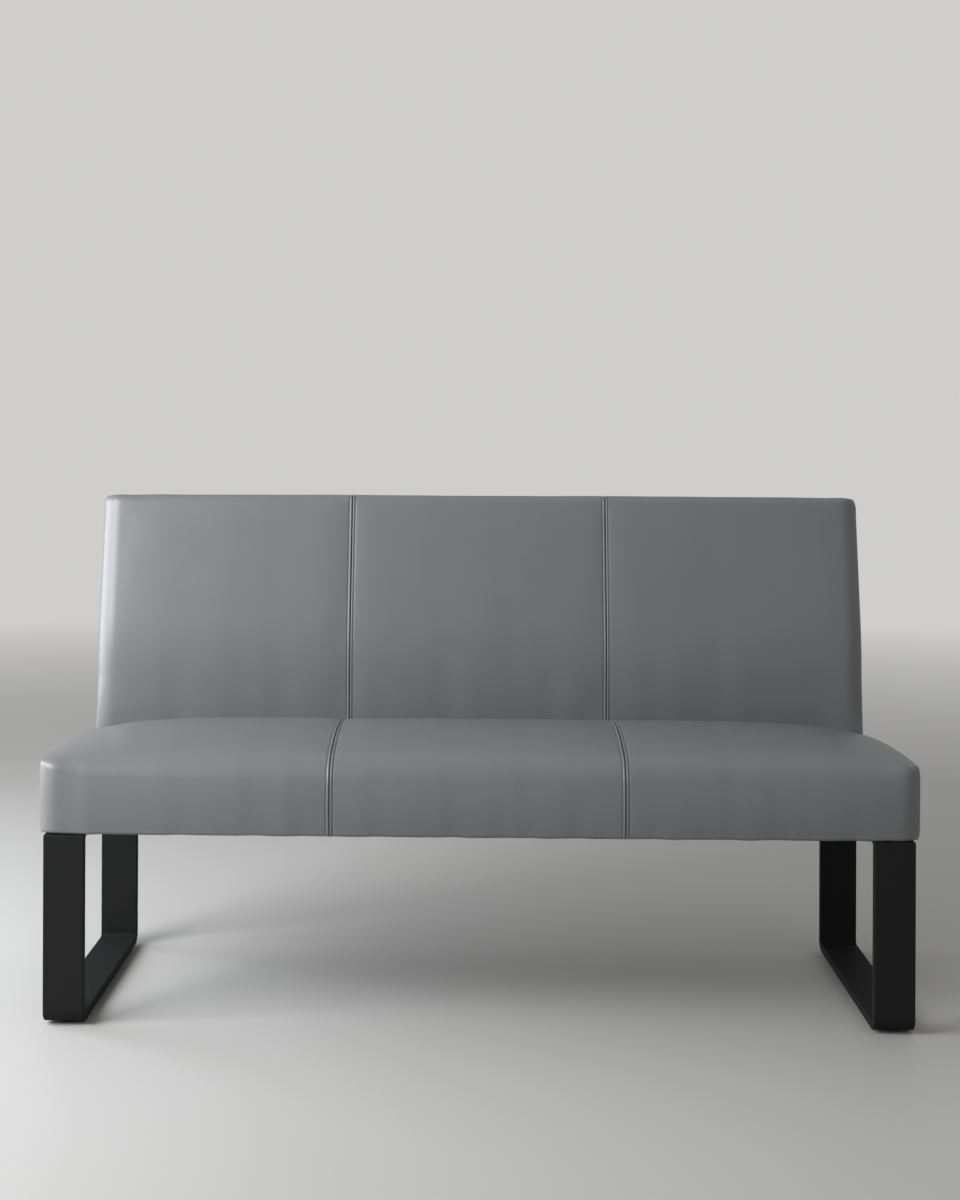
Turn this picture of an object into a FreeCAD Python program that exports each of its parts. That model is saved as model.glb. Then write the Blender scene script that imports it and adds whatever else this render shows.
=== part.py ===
import FreeCAD, Part
import math
import os

# A dining bench for three with an upholstered seat and backrest on two sled legs.
# Lengths are in millimetres. X runs to the right seen from the front, Y to the back,
# Z up. The origin is on the floor, under the middle of the bench.

os.makedirs("parts", exist_ok=True)

# Whole bench
bench_width = 1510.0
bench_height = 890.0
seat_depth = 464.0
seat_underside = 327.0
panel_count = 3

# Leather, and how it is drawn over the padding
leather_thickness = 1.2
foam_gap = 0.3
seat_crown_reach = 85.0
back_crown_reach = 60.0
seam_dip = 3.0
seam_dip_half_width = 14.0
side_panel_crown = 14.0
end_roll = 10.0
end_roll_reach = 12.0
crown_station_shares = (0.0, 0.08, 0.2, 0.5, 1.0, 1.8, 3.2)

# Seat cushion outline at the middle of the bench, its heights counted from the underside
seat_crest_rise = 138.5
seat_rear_rise = 115.0
seat_top_crown = 32.0
seat_crest_slope_degrees = 14.6
seat_rear_slope_degrees = 21.2
seat_crest_round = 55.0
seat_rear_round = 12.0
seat_front_bottom_draw = 5.0
seat_front_top_draw = 2.0
seat_bottom_fold = 8.0
seat_front_hem = 30.0

# How far the seat outline draws in at its two ends
seat_crest_end_drop = 13.5
seat_rear_end_drop = 11.0
seat_top_end_crown = 7.0
seat_front_end_draw = 3.0
seat_corner_round = 10.0
seat_side_depth_shares = (1.0, 1.0, 0.95, 0.85)
seat_side_height_shares = (1.0, 1.0, 0.82, 0.5)

# Backrest outline
back_thickness = 72.0
back_lean_degrees = 12.4
back_bend_share = 0.153
back_bend_radius = 560.0
back_top_front_round = 18.0
back_top_rear_round = 14.0
back_bottom_fold = 6.0
back_rear_hem = 25.0
back_front_end_draw = 3.0
back_top_end_draw = 3.0
back_side_bulge_insets = (0.0, 0.0, 4.5, 12.0)
side_bulge_rise_shares = (0.0, 0.1, 0.55, 1.0)

# Seat frame
seat_foam_front = 15.0
side_foam = 15.0
seat_padding = 35.0
front_rail_thickness = 22.0
rear_rail_thickness = 27.0
cross_rail_thickness = 22.0
deck_thickness = 12.0
corner_block_leg = 50.0
corner_block_clearance = 15.0
dust_cover_thickness = 0.8
dust_cover_margin = 19.0

# Backrest frame
back_foam = 22.0
back_foam_top = 8.0
front_board_thickness = 4.0
rear_board_thickness = 3.0
post_thickness = 28.0
top_rail_height = 30.0
middle_rail_low_share = 0.21
middle_rail_high_share = 0.4

# Sled legs: at each end a loop of flat rectangular tube, closed by a plate at its top
leg_width = 70.0
leg_side_inset = 14.0
leg_front_inset = 9.0
leg_rear_reach = 25.0
tube_thickness = 15.0
tube_wall = 1.5
tube_edge_round = 2.0
leg_bend_radius = 22.0
leg_weld_round = 4.0
leg_top_plate = 6.0

# Bolts, eight millimetre thread, its crest and bore left plain
thread_radius = 4.0
thread_clearance = 0.05
bolt_hole_clearance = 0.5
bolt_head_overhang = 3.0
washer_clearance = 0.2
washer_rim = 3.8
washer_thickness = 1.6
socket_width = 5.0
socket_depth = 2.5
hexagon_sides = 6

# Leg bolts and the threaded inserts they turn into
leg_bolt_head_height = 4.4
leg_bolt_spacing_x = 30.0
leg_bolt_front_inset = 75.0
leg_bolt_rear_inset = 105.0
leg_bolt_tip_gap = 3.6
insert_wall = 2.0
insert_length = 20.0
insert_flange_overhang = 1.5
insert_flange_thickness = 1.0

# Bolts that hold the backrest to the seat
back_bolt_head_height = 5.0
back_bolt_height_share = 0.5
back_bolt_seam_gap = 60.0
back_bolt_end_gap = 111.0
counterbore_clearance = 3.0
counterbore_depth = 8.0
tee_nut_wall = 1.0
tee_nut_flange_overhang = 4.5
tee_nut_flange_thickness = 1.5
tee_nut_barrel_length = 9.0

# Levelling feet: a disc moulded on a threaded stud, standing on a loose sole pad
foot_standoff = 4.5
foot_disc_radius = 15.0
foot_disc_edge = 1.0
foot_bend_gap = 2.0
foot_pad_radius = 11.0
foot_pad_thickness = 2.0
foot_pad_recess = 1.2
foot_pad_clearance = 0.06
foot_stud_tip_gap = 0.5
foot_nut_width = 13.0
foot_nut_height = 6.5

# Length by which every cutting tool runs past what it cuts
overrun = 2.0

# Directions in the side view, in degrees
rearward = 0
upward = 90
frontward = 180
downward = 270
half_turn = 180

lean = math.radians(back_lean_degrees)
half_width = bench_width / 2
panel_seam_x = half_width / panel_count
seam_end_x = half_width - side_panel_crown
frame_end_x = seam_end_x - side_foam
foam_end_x = seam_end_x - foam_gap
cover_bottom = seat_underside + dust_cover_thickness
rail_bottom = cover_bottom + leather_thickness
seat_crest_height = seat_underside + seat_crest_rise
seat_rear_height = seat_underside + seat_rear_rise
deck_top = seat_rear_height - seat_rear_end_drop - seat_padding
rail_top = deck_top - deck_thickness
back_bend_height = seat_crest_height + back_bend_share * (bench_height - seat_crest_height)
padding_inset = leather_thickness + foam_gap
bolt_hole_radius = thread_radius + bolt_hole_clearance
bolt_head_radius = thread_radius + bolt_head_overhang
washer_hole_radius = thread_radius + washer_clearance
washer_radius = washer_hole_radius + washer_rim
insert_radius = thread_radius + insert_wall
tee_nut_barrel_radius = thread_radius + tee_nut_wall

# Length of the leaning part of the backrest, from the end of the bend to the top
back_lean_length = back_top_front_round + (
    bench_height
    - back_top_front_round
    - back_bend_height
    - (back_bend_radius - back_top_front_round) * math.sin(lean)
) / math.cos(lean)

# Depth from the front of the seat to the rearmost point of the backrest
bench_depth = (
    seat_depth
    + back_bend_radius
    - (back_bend_radius - back_thickness + back_top_rear_round) * math.cos(lean)
    + (back_lean_length - back_top_rear_round) * math.sin(lean)
    + back_top_rear_round
)
seat_front = -bench_depth / 2
back_front = seat_front + seat_depth
seat_rear = back_front - foam_gap
bend_centre = (back_front + back_bend_radius, back_bend_height)


def polar(centre, radius, degrees):
    """The point in some direction from a centre, at a distance."""
    angle = math.radians(degrees)
    return (centre[0] + radius * math.cos(angle), centre[1] + radius * math.sin(angle))


class Outline:
    """A run of lines and arcs in the side view, through (y, z) points."""

    def __init__(self, start):
        self.points = [start]
        self.middles = []

    def line(self, end):
        self.middles.append(None)
        self.points.append(end)
        return self

    def arc(self, middle, end):
        self.middles.append(middle)
        self.points.append(end)
        return self

    def turn(self, centre, radius, first, last):
        """An arc round a centre, from the first direction to the last, by the short way round."""
        sweep = (last - first + half_turn) % (2 * half_turn) - half_turn
        return self.arc(polar(centre, radius, first + sweep / 2), polar(centre, radius, last))

    def corner(self, centre, radius, first, last):
        """A line up to an arc round a centre, and the arc."""
        return self.line(polar(centre, radius, first)).turn(centre, radius, first, last)

    def shrunk(self, centre, *shares):
        """The same outline, drawn towards a centre by one share in depth and one in height."""

        def moved(point):
            if point is None:
                return None
            return tuple(c + (p - c) * share for p, c, share in zip(point, centre, shares))

        copy = Outline(moved(self.points[0]))
        copy.points = [moved(p) for p in self.points]
        copy.middles = [moved(p) for p in self.middles]
        return copy

    def followed_back_by(self, inner):
        """One closed outline: this one, then the inner one the other way round."""
        copy = Outline(self.points[0])
        copy.points = self.points + inner.points[::-1]
        copy.middles = self.middles + [None] + inner.middles[::-1]
        return copy

    def wire(self, x):
        """The closed wire of this outline, standing at a place along the bench."""
        at = [FreeCAD.Vector(x, y, z) for y, z in self.points]
        edges = []
        for start, middle, end in zip(at, self.middles, at[1:]):
            if middle is None:
                edges.append(Part.LineSegment(start, end).toShape())
            else:
                edges.append(Part.Arc(start, FreeCAD.Vector(x, *middle), end).toShape())
        edges.append(Part.LineSegment(at[-1], at[0]).toShape())
        return Part.Wire(edges)

    def slab(self, x_low, x_high):
        """The outline filled and drawn out along the bench."""
        return Part.Face(self.wire(x_low)).extrude(FreeCAD.Vector(x_high - x_low, 0, 0))


def box(low, high):
    size = [b - a for a, b in zip(low, high)]
    return Part.makeBox(*size, FreeCAD.Vector(*low))


def rod(radius, length, place, axis=(0, 0, 1)):
    return Part.makeCylinder(radius, length, FreeCAD.Vector(*place), FreeCAD.Vector(*axis))


def hexagon(width, height, place, axis=(0, 0, 1)):
    """A six-sided prism, sized across its flats."""
    corner_radius = width / 2 / math.cos(math.pi / hexagon_sides)
    step = 2 * half_turn / hexagon_sides
    ring = [FreeCAD.Vector(*polar((0, 0), corner_radius, k * step), 0) for k in range(hexagon_sides)]
    prism = Part.Face(Part.makePolygon(ring + ring[:1])).extrude(FreeCAD.Vector(0, 0, height))
    prism.Placement = FreeCAD.Placement(
        FreeCAD.Vector(*place),
        FreeCAD.Rotation(FreeCAD.Vector(0, 0, 1), FreeCAD.Vector(*axis)),
    )
    return prism


def mirrored(shape):
    """The same shape at the other end of the bench."""
    return shape.mirror(FreeCAD.Vector(0, 0, 0), FreeCAD.Vector(1, 0, 0))


def loft(wires):
    return Part.makeLoft(wires, True, True)


def save(name, *solids):
    shape = solids[0] if len(solids) == 1 else Part.makeCompound(list(solids))
    shape.exportStep("parts/" + name + ".step")


def save_pair(name, shape):
    """A piece at the right end of the bench and its mirror image at the left end."""
    save(name + "_right", shape)
    save(name + "_left", mirrored(shape))


# Places along the bench where the drawn leather changes shape


def end_fade(x, reach):
    """One at the side seams, fading to nothing towards the middle of the bench."""
    return math.exp((abs(x) - seam_end_x) / reach)


def roll(x):
    """How far the front faces round back at their upright end edges."""
    return end_roll * end_fade(x, end_roll_reach)


def dip(x):
    """How far the two panel seams pull the leather in."""
    return seam_dip * max(0, 1 - abs(abs(x) - panel_seam_x) / seam_dip_half_width)


def stations(first, last, reach):
    """The sections between two places along the bench, both included."""
    right = [seam_end_x - share * reach for share in crown_station_shares]
    right += [panel_seam_x + side * seam_dip_half_width for side in (-1, 0, 1)]
    places = sorted([0] + right + [-x for x in right])
    return [x for x in places if first <= x <= last]


def panels(reach):
    """The three panels of a cover, as names and the sections that each runs through."""
    return (
        ("left", stations(-seam_end_x, -panel_seam_x, reach)),
        ("middle", stations(-panel_seam_x, panel_seam_x, reach)),
        ("right", stations(panel_seam_x, seam_end_x, reach)),
    )


# Seat cushion and its cover


def seat_outline(x, inset, start_y, end_z):
    """From under the front edge, up the front, over the top and down at the back."""
    fade = end_fade(x, seat_crown_reach)
    front = seat_front + seat_front_end_draw * fade + roll(x) + dip(x)
    bottom = front + seat_front_bottom_draw
    top = front + seat_front_top_draw
    crest = seat_crest_height - seat_crest_end_drop * fade - dip(x)
    rear = seat_rear_height - seat_rear_end_drop * fade - dip(x)
    crest_round = seat_crest_round + (seat_corner_round - seat_crest_round) * fade
    top_crown = seat_top_crown + (seat_top_end_crown - seat_top_crown) * fade
    crest_end = upward + seat_crest_slope_degrees * (1 - fade)
    rear_start = upward - seat_rear_slope_degrees * (1 - fade)
    fold_centre = (bottom + seat_bottom_fold, cover_bottom + seat_bottom_fold)
    crest_end_y, crest_end_z = polar((0, 0), crest_round, crest_end)
    crest_centre = (top + crest_round, crest - crest_end_z)
    rear_start_y, rear_start_z = polar((0, 0), seat_rear_round, rear_start)
    rear_centre = (seat_rear - seat_rear_round, rear - rear_start_z)
    crown = (
        (crest_centre[0] + crest_end_y + rear_centre[0] + rear_start_y) / 2,
        (crest + rear) / 2 + top_crown - inset,
    )
    outline = Outline((start_y, cover_bottom + inset))
    outline.corner(fold_centre, seat_bottom_fold - inset, downward, frontward)
    outline.arc(
        (front + inset, (fold_centre[1] + crest_centre[1]) / 2),
        (top + inset, crest_centre[1]),
    )
    outline.turn(crest_centre, crest_round - inset, frontward, crest_end)
    outline.arc(crown, polar(rear_centre, seat_rear_round - inset, rear_start))
    outline.turn(rear_centre, seat_rear_round - inset, rear_start, rearward)
    return outline.line((seat_rear - inset, end_z))


def seat_cover(places):
    """One leather panel, from its hem under the front to its hem behind the deck."""
    hem_y = seat_front + seat_front_hem
    wires = []
    for x in places:
        outer = seat_outline(x, 0, hem_y, rail_top)
        inner = seat_outline(x, leather_thickness, hem_y, rail_top)
        wires.append(outer.followed_back_by(inner).wire(x))
    return loft(wires)


for side, places in panels(seat_crown_reach):
    save("seat_cover_" + side, seat_cover(places))

seat_end_outline = seat_outline(seam_end_x, 0, 0, cover_bottom)
seat_end_centre = ((seat_front + seat_rear) / 2, (cover_bottom + seat_rear_height) / 2)
save_pair(
    "seat_side_panel",
    loft([
        seat_end_outline.shrunk(seat_end_centre, depth, height).wire(
            seam_end_x + rise * side_panel_crown
        )
        for depth, height, rise in zip(
            seat_side_depth_shares, seat_side_height_shares, side_bulge_rise_shares
        )
    ]),
)

seat_frame_front = seat_front + padding_inset + seat_foam_front
deck_rear = seat_rear - padding_inset
foam_bottom = cover_bottom + padding_inset
seat_foam_block = loft([
    seat_outline(x, padding_inset, 0, foam_bottom).wire(max(-foam_end_x, min(x, foam_end_x)))
    for x in stations(-seam_end_x, seam_end_x, seat_crown_reach)
])
seat_frame_space = box(
    (-frame_end_x, seat_frame_front, rail_bottom - overrun),
    (frame_end_x, back_front + overrun, deck_top),
)
seat_rear_space = box(
    (-foam_end_x - overrun, deck_rear - foam_gap, rail_bottom - overrun),
    (foam_end_x + overrun, back_front + overrun, deck_top),
)
save("seat_foam", seat_foam_block.cut(seat_frame_space).cut(seat_rear_space))

# Seat frame of wooden rails with a plywood deck

rear_rail_front = back_front - rear_rail_thickness
rails_from = seat_frame_front + front_rail_thickness

# The end rails lie over the legs' top plates, level with their inner sides
leg_centre_x = half_width - leg_side_inset - leg_width / 2
leg_front = seat_front + leg_front_inset
leg_rear = back_front + leg_rear_reach
end_rail_inner = leg_centre_x - leg_width / 2
end_rail_centre_x = (end_rail_inner + frame_end_x) / 2
leg_bolt_places = [
    (end_rail_centre_x + side * leg_bolt_spacing_x / 2, y)
    for y in (leg_front + leg_bolt_front_inset, leg_rear - leg_bolt_rear_inset)
    for side in (-1, 1)
]
back_bolt_z = rail_bottom + back_bolt_height_share * (rail_top - rail_bottom)
back_bolt_places = [
    side * x
    for x in (panel_seam_x - back_bolt_seam_gap, end_rail_inner - back_bolt_end_gap)
    for side in (-1, 1)
]

front_rail_chamfer = seat_bottom_fold / 2
front_rail = Outline((seat_frame_front, rail_top))
front_rail.line((rails_from, rail_top))
front_rail.line((rails_from, rail_bottom))
front_rail.line((seat_frame_front + front_rail_chamfer, rail_bottom))
front_rail.line((seat_frame_front, rail_bottom + front_rail_chamfer))
save("seat_front_rail", front_rail.slab(-frame_end_x, frame_end_x))

rear_rail = box(
    (-frame_end_x, rear_rail_front, rail_bottom),
    (frame_end_x, back_front, rail_top),
)
for x in back_bolt_places:
    seat_hole = rod(
        tee_nut_barrel_radius,
        rear_rail_thickness + 2 * overrun,
        (x, rear_rail_front - overrun, back_bolt_z),
        (0, 1, 0),
    )
    rear_rail = rear_rail.cut(seat_hole)
save("seat_rear_rail", rear_rail)

end_rail = box(
    (end_rail_inner, rails_from, rail_bottom),
    (frame_end_x, rear_rail_front, rail_top),
)
for x, y in leg_bolt_places:
    end_rail = end_rail.cut(rod(insert_radius, insert_length + overrun, (x, y, rail_bottom)))
save_pair("seat_end_rail", end_rail)

cross_rail = box(
    (panel_seam_x - cross_rail_thickness / 2, rails_from, rail_bottom),
    (panel_seam_x + cross_rail_thickness / 2, rear_rail_front, rail_top),
)
save_pair("seat_cross_rail", cross_rail)


def corner_block(y, towards):
    """A glued three-cornered block in the angle of an end rail and a long rail."""
    corners = [
        FreeCAD.Vector(end_rail_inner, y, rail_bottom),
        FreeCAD.Vector(end_rail_inner - corner_block_leg, y, rail_bottom),
        FreeCAD.Vector(end_rail_inner, y + towards * corner_block_leg, rail_bottom),
    ]
    face = Part.Face(Part.makePolygon(corners + corners[:1]))
    return face.extrude(FreeCAD.Vector(0, 0, rail_top - rail_bottom - corner_block_clearance))


save_pair("front_corner_block", corner_block(rails_from, 1))
save_pair("rear_corner_block", corner_block(rear_rail_front, -1))

save(
    "seat_deck",
    box((-frame_end_x, seat_frame_front, rail_top), (frame_end_x, deck_rear, deck_top)),
)

# Backrest, whose offsets are counted from its front face towards its back


def leaning(inset, along):
    """A point in the leaning part, by its offset and its distance above the bend."""
    base = polar(bend_centre, back_bend_radius - inset, frontward - back_lean_degrees)
    return polar(base, along, upward - back_lean_degrees)


def back_outline(x, inset, low_z, thickness):
    """From the foot of the front face, up and over the top to the rear upper edge."""
    fade = end_fade(x, back_crown_reach)
    front = back_front_end_draw * fade + roll(x) + dip(x)
    top = back_lean_length - back_top_end_draw * fade - dip(x)
    front_centre = leaning(front + back_top_front_round, top - back_top_front_round)
    rear_centre = leaning(thickness - back_top_rear_round, top - back_top_rear_round)
    front_lean = frontward - back_lean_degrees
    top_lean = upward - back_lean_degrees
    rear_lean = rearward - back_lean_degrees
    outline = Outline((back_front + inset, low_z))
    outline.corner(bend_centre, back_bend_radius - front - inset, frontward, front_lean)
    outline.corner(front_centre, back_top_front_round - inset, front_lean, top_lean)
    return outline.corner(rear_centre, back_top_rear_round - inset, top_lean, rear_lean)


def back_block(x, inset, low_z, thickness):
    """The whole closed section of the backrest."""
    outline = back_outline(x, inset, low_z, thickness)
    rear = back_bend_radius - thickness + inset
    outline.corner(bend_centre, rear, frontward - back_lean_degrees, frontward)
    return outline.line((bend_centre[0] - rear, low_z))


def back_layer(front_inset, rear_inset, low_z, top):
    """A bent layer or board of even thickness inside the backrest."""
    front = back_bend_radius - front_inset
    rear = back_bend_radius - rear_inset
    outline = Outline((bend_centre[0] - front, low_z))
    outline.corner(bend_centre, front, frontward, frontward - back_lean_degrees)
    outline.line(leaning(front_inset, top))
    outline.line(leaning(rear_inset, top))
    outline.corner(bend_centre, rear, frontward - back_lean_degrees, frontward)
    return outline.line((bend_centre[0] - rear, low_z))


def back_cover(places):
    """One leather panel, from the deck up the front and over the top."""
    wires = []
    for x in places:
        outer = back_outline(x, 0, rail_top, back_thickness)
        inner = back_outline(x, leather_thickness, rail_top, back_thickness)
        wires.append(outer.followed_back_by(inner).wire(x))
    return loft(wires)


def rear_outline(x, inset):
    """Down the back of the backrest, from the upper edge to the hem under it."""
    fade = end_fade(x, back_crown_reach)
    top = back_lean_length - back_top_end_draw * fade - dip(x) - back_top_rear_round
    rear = back_bend_radius - back_thickness + inset
    foot = bend_centre[0] - rear + inset - back_bottom_fold
    fold_centre = (foot, cover_bottom + back_bottom_fold)
    outline = Outline(leaning(back_thickness - inset, top))
    outline.corner(bend_centre, rear, frontward - back_lean_degrees, frontward)
    outline.corner(fold_centre, back_bottom_fold - inset, rearward, downward)
    return outline.line((foot - back_rear_hem, cover_bottom + inset))


for side, places in panels(back_crown_reach):
    save("back_cover_" + side, back_cover(places))

save(
    "rear_cover",
    loft([
        rear_outline(x, 0).followed_back_by(rear_outline(x, leather_thickness)).wire(x)
        for x in stations(-seam_end_x, seam_end_x, back_crown_reach)
    ]),
)
save_pair(
    "back_side_panel",
    loft([
        back_block(seam_end_x, inset, cover_bottom + inset, back_thickness).wire(
            seam_end_x + rise * side_panel_crown
        )
        for inset, rise in zip(back_side_bulge_insets, side_bulge_rise_shares)
    ]),
)

back_foam_inset = padding_inset + back_foam
post_front = back_foam_inset + front_board_thickness
rear_board_front = back_thickness - leather_thickness - rear_board_thickness
top_rail_top = back_lean_length - padding_inset - back_foam_top
top_rail_low = top_rail_top - top_rail_height

back_foam_block = loft([
    back_block(x, padding_inset, rail_top + foam_gap, back_thickness - rear_board_thickness).wire(
        max(-foam_end_x, min(x, foam_end_x))
    )
    for x in stations(-seam_end_x, seam_end_x, back_crown_reach)
])
back_frame_space = back_layer(
    back_foam_inset, back_thickness + overrun, rail_top - overrun, top_rail_top
)
save("back_foam", back_foam_block.cut(back_frame_space.slab(-frame_end_x, frame_end_x)))

front_board = back_layer(back_foam_inset, post_front, rail_top, top_rail_top)
save("back_front_board", front_board.slab(-frame_end_x, frame_end_x))
rear_board_top = back_lean_length - back_top_rear_round - back_top_end_draw - seam_dip
rear_board_rear = rear_board_front + rear_board_thickness
rear_board = back_layer(
    rear_board_front, rear_board_rear, rail_bottom + back_bottom_fold, rear_board_top
)
save("back_rear_board", rear_board.slab(-foam_end_x, foam_end_x))

post = back_layer(post_front, rear_board_front, rail_top, top_rail_low)
save_pair("back_end_post", post.slab(frame_end_x - post_thickness, frame_end_x))
save_pair(
    "back_middle_post",
    post.slab(panel_seam_x - post_thickness / 2, panel_seam_x + post_thickness / 2),
)


def leaning_rail(low, high, x_low, x_high):
    """A rail of the backrest frame, between two distances above the bend."""
    outline = Outline(leaning(post_front, low))
    outline.line(leaning(post_front, high))
    outline.line(leaning(rear_board_front, high))
    outline.line(leaning(rear_board_front, low))
    return outline.slab(x_low, x_high)


save("back_top_rail", leaning_rail(top_rail_low, top_rail_top, -frame_end_x, frame_end_x))
middle_rail_low = middle_rail_low_share * top_rail_low
middle_rail_high = middle_rail_high_share * top_rail_low
inner_end = panel_seam_x - post_thickness / 2
outer_start = panel_seam_x + post_thickness / 2
outer_end = frame_end_x - post_thickness
outer_rail = leaning_rail(middle_rail_low, middle_rail_high, outer_start, outer_end)
inner_rail = leaning_rail(middle_rail_low, middle_rail_high, -inner_end, inner_end)
save_pair("back_lumbar_rail", outer_rail)
save("back_lumbar_rail_middle", inner_rail)

bottom_rail_rear = back_front + rear_board_front
bottom_rail_chamfer = back_bottom_fold / 2
bottom_rail_section = Outline((back_front, rail_bottom))
bottom_rail_section.line((back_front, rail_top))
bottom_rail_section.line((bottom_rail_rear, rail_top))
bottom_rail_section.line((bottom_rail_rear, rail_bottom + bottom_rail_chamfer))
bottom_rail_section.line((bottom_rail_rear - bottom_rail_chamfer, rail_bottom))
bottom_rail = bottom_rail_section.slab(-foam_end_x, foam_end_x)
for x in back_bolt_places:
    shank_hole = rod(
        bolt_hole_radius,
        rear_board_front + 2 * overrun,
        (x, back_front - overrun, back_bolt_z),
        (0, 1, 0),
    )
    head_hole = rod(
        washer_radius + counterbore_clearance,
        counterbore_depth + overrun,
        (x, bottom_rail_rear - counterbore_depth, back_bolt_z),
        (0, 1, 0),
    )
    bottom_rail = bottom_rail.cut(shank_hole).cut(head_hole)
save("back_bottom_rail", bottom_rail)

# Bolts, washers and nuts


def washer(place, axis):
    plate = rod(washer_radius, washer_thickness, place, axis)
    return plate.cut(rod(washer_hole_radius, washer_thickness, place, axis))


def bolt(head_height, shank_length, place, axis):
    """A bolt with a socket head, placed by the seat under its head, pointing along its shank."""
    direction = FreeCAD.Vector(*axis)
    head_end = FreeCAD.Vector(*place) - direction * head_height
    head = rod(bolt_head_radius, head_height, head_end, axis)
    socket = hexagon(socket_width, socket_depth, head_end, axis)
    return head.cut(socket).fuse(rod(thread_radius, shank_length, place, axis)).removeSplitter()


def nut_bore(length, place, axis):
    return rod(thread_radius + thread_clearance, length, place, axis)


leg_plate_under = seat_underside - leg_top_plate
bolt_seat_z = leg_plate_under - washer_thickness
leg_bolt_length = rail_bottom + insert_length - leg_bolt_tip_gap - bolt_seat_z
leg_bolts = []
leg_washers = []
leg_inserts = []
for x, y in leg_bolt_places:
    flange_low = (x, y, rail_bottom - insert_flange_thickness)
    flange_radius = insert_radius + insert_flange_overhang
    insert = rod(flange_radius, insert_flange_thickness, flange_low).fuse(
        rod(insert_radius, insert_length, (x, y, rail_bottom))
    )
    bore_length = insert_flange_thickness + insert_length
    insert = insert.cut(nut_bore(bore_length, flange_low, (0, 0, 1)))
    seat = (x, y, bolt_seat_z)
    for group, solid in (
        (leg_bolts, bolt(leg_bolt_head_height, leg_bolt_length, seat, (0, 0, 1))),
        (leg_washers, washer(seat, (0, 0, 1))),
        (leg_inserts, insert),
    ):
        group += [solid, mirrored(solid)]
save("leg_bolts", *leg_bolts)
save("leg_washers", *leg_washers)
save("leg_inserts", *leg_inserts)

back_bolts = []
back_washers = []
back_tee_nuts = []
for x in back_bolt_places:
    floor = (x, bottom_rail_rear - counterbore_depth, back_bolt_z)
    head_seat = (x, floor[1] + washer_thickness, back_bolt_z)
    flange = (x, rear_rail_front - tee_nut_flange_thickness, back_bolt_z)
    back_bolts.append(bolt(back_bolt_head_height, head_seat[1] - flange[1], head_seat, (0, -1, 0)))
    back_washers.append(washer(floor, (0, 1, 0)))
    flange_radius = tee_nut_barrel_radius + tee_nut_flange_overhang
    tee_nut = rod(flange_radius, tee_nut_flange_thickness, flange, (0, 1, 0)).fuse(
        rod(tee_nut_barrel_radius, tee_nut_barrel_length, (x, rear_rail_front, back_bolt_z), (0, 1, 0))
    )
    bore_length = tee_nut_flange_thickness + tee_nut_barrel_length
    back_tee_nuts.append(tee_nut.cut(nut_bore(bore_length, flange, (0, 1, 0))))
save("back_bolts", *back_bolts)
save("back_washers", *back_washers)
save("back_tee_nuts", *back_tee_nuts)

# Sled legs

# The feet stand just past the bends, on the flat of the runner
foot_inset = leg_bend_radius + foot_disc_radius + foot_bend_gap
foot_places_y = (("front", leg_front + foot_inset), ("rear", leg_rear - foot_inset))


def leg_ring(inset, top_inset, width):
    """The filled outline of a leg, drawn in from its outer face, and by its own inset at the top."""
    front = leg_front + inset
    rear = leg_rear - inset
    low = foot_standoff + inset
    high = seat_underside - top_inset
    bend = leg_bend_radius - inset
    weld = leg_weld_round
    outline = Outline((front, high - weld))
    outline.turn((front + weld, high - weld), weld, frontward, upward)
    outline.corner((rear - weld, high - weld), weld, upward, rearward)
    outline.corner((rear - bend, low + bend), bend, rearward, downward)
    outline.corner((front + bend, low + bend), bend, downward, frontward)
    return outline.slab(leg_centre_x - width / 2, leg_centre_x + width / 2)


leg = leg_ring(0, 0, leg_width).cut(leg_ring(tube_thickness, leg_top_plate, leg_width))
# The long edges of the loop lie in its two flat side faces
long_edges = [edge for edge in leg.Edges if edge.BoundBox.XLength < tube_wall]
leg = leg.makeFillet(tube_edge_round, long_edges)
hollow_width = leg_width - 2 * tube_wall
hollow = leg_ring(tube_wall, leg_top_plate, hollow_width)
leg = leg.cut(hollow.cut(leg_ring(tube_thickness - tube_wall, 0, hollow_width)))
for x, y in leg_bolt_places:
    bolt_hole = rod(
        bolt_hole_radius, leg_top_plate + 2 * overrun, (x, y, leg_plate_under - overrun)
    )
    leg = leg.cut(bolt_hole)
for place, y in foot_places_y:
    stud_hole = rod(
        bolt_hole_radius, tube_wall + 2 * overrun, (leg_centre_x, y, foot_standoff - overrun)
    )
    leg = leg.cut(stud_hole)
save_pair("leg", leg)

# Levelling feet

foot_stud_length = tube_thickness - tube_wall - foot_stud_tip_gap
foot_nuts = []
for place, y in foot_places_y:
    nut_low = (leg_centre_x, y, foot_standoff + tube_wall)
    nut = hexagon(foot_nut_width, foot_nut_height, nut_low)
    nut = nut.cut(nut_bore(foot_nut_height, nut_low, (0, 0, 1)))
    foot_nuts += [nut, mirrored(nut)]

    disc_low = foot_pad_thickness - foot_pad_recess
    disc = rod(foot_disc_radius, foot_standoff - disc_low, (leg_centre_x, y, disc_low))
    disc = disc.makeChamfer(foot_disc_edge, [e for e in disc.Edges if e.BoundBox.ZMax < foot_standoff])
    recess = rod(
        foot_pad_radius + foot_pad_clearance, foot_pad_recess, (leg_centre_x, y, disc_low)
    )
    stud = rod(thread_radius, foot_stud_length, (leg_centre_x, y, foot_standoff))
    save_pair("foot_screw_" + place, disc.cut(recess).fuse(stud))
    save_pair("foot_pad_" + place, rod(foot_pad_radius, foot_pad_thickness, (leg_centre_x, y, 0)))
save("foot_nuts", *foot_nuts)

# Dust cover under the whole bench, which the leg tops press against

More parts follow.
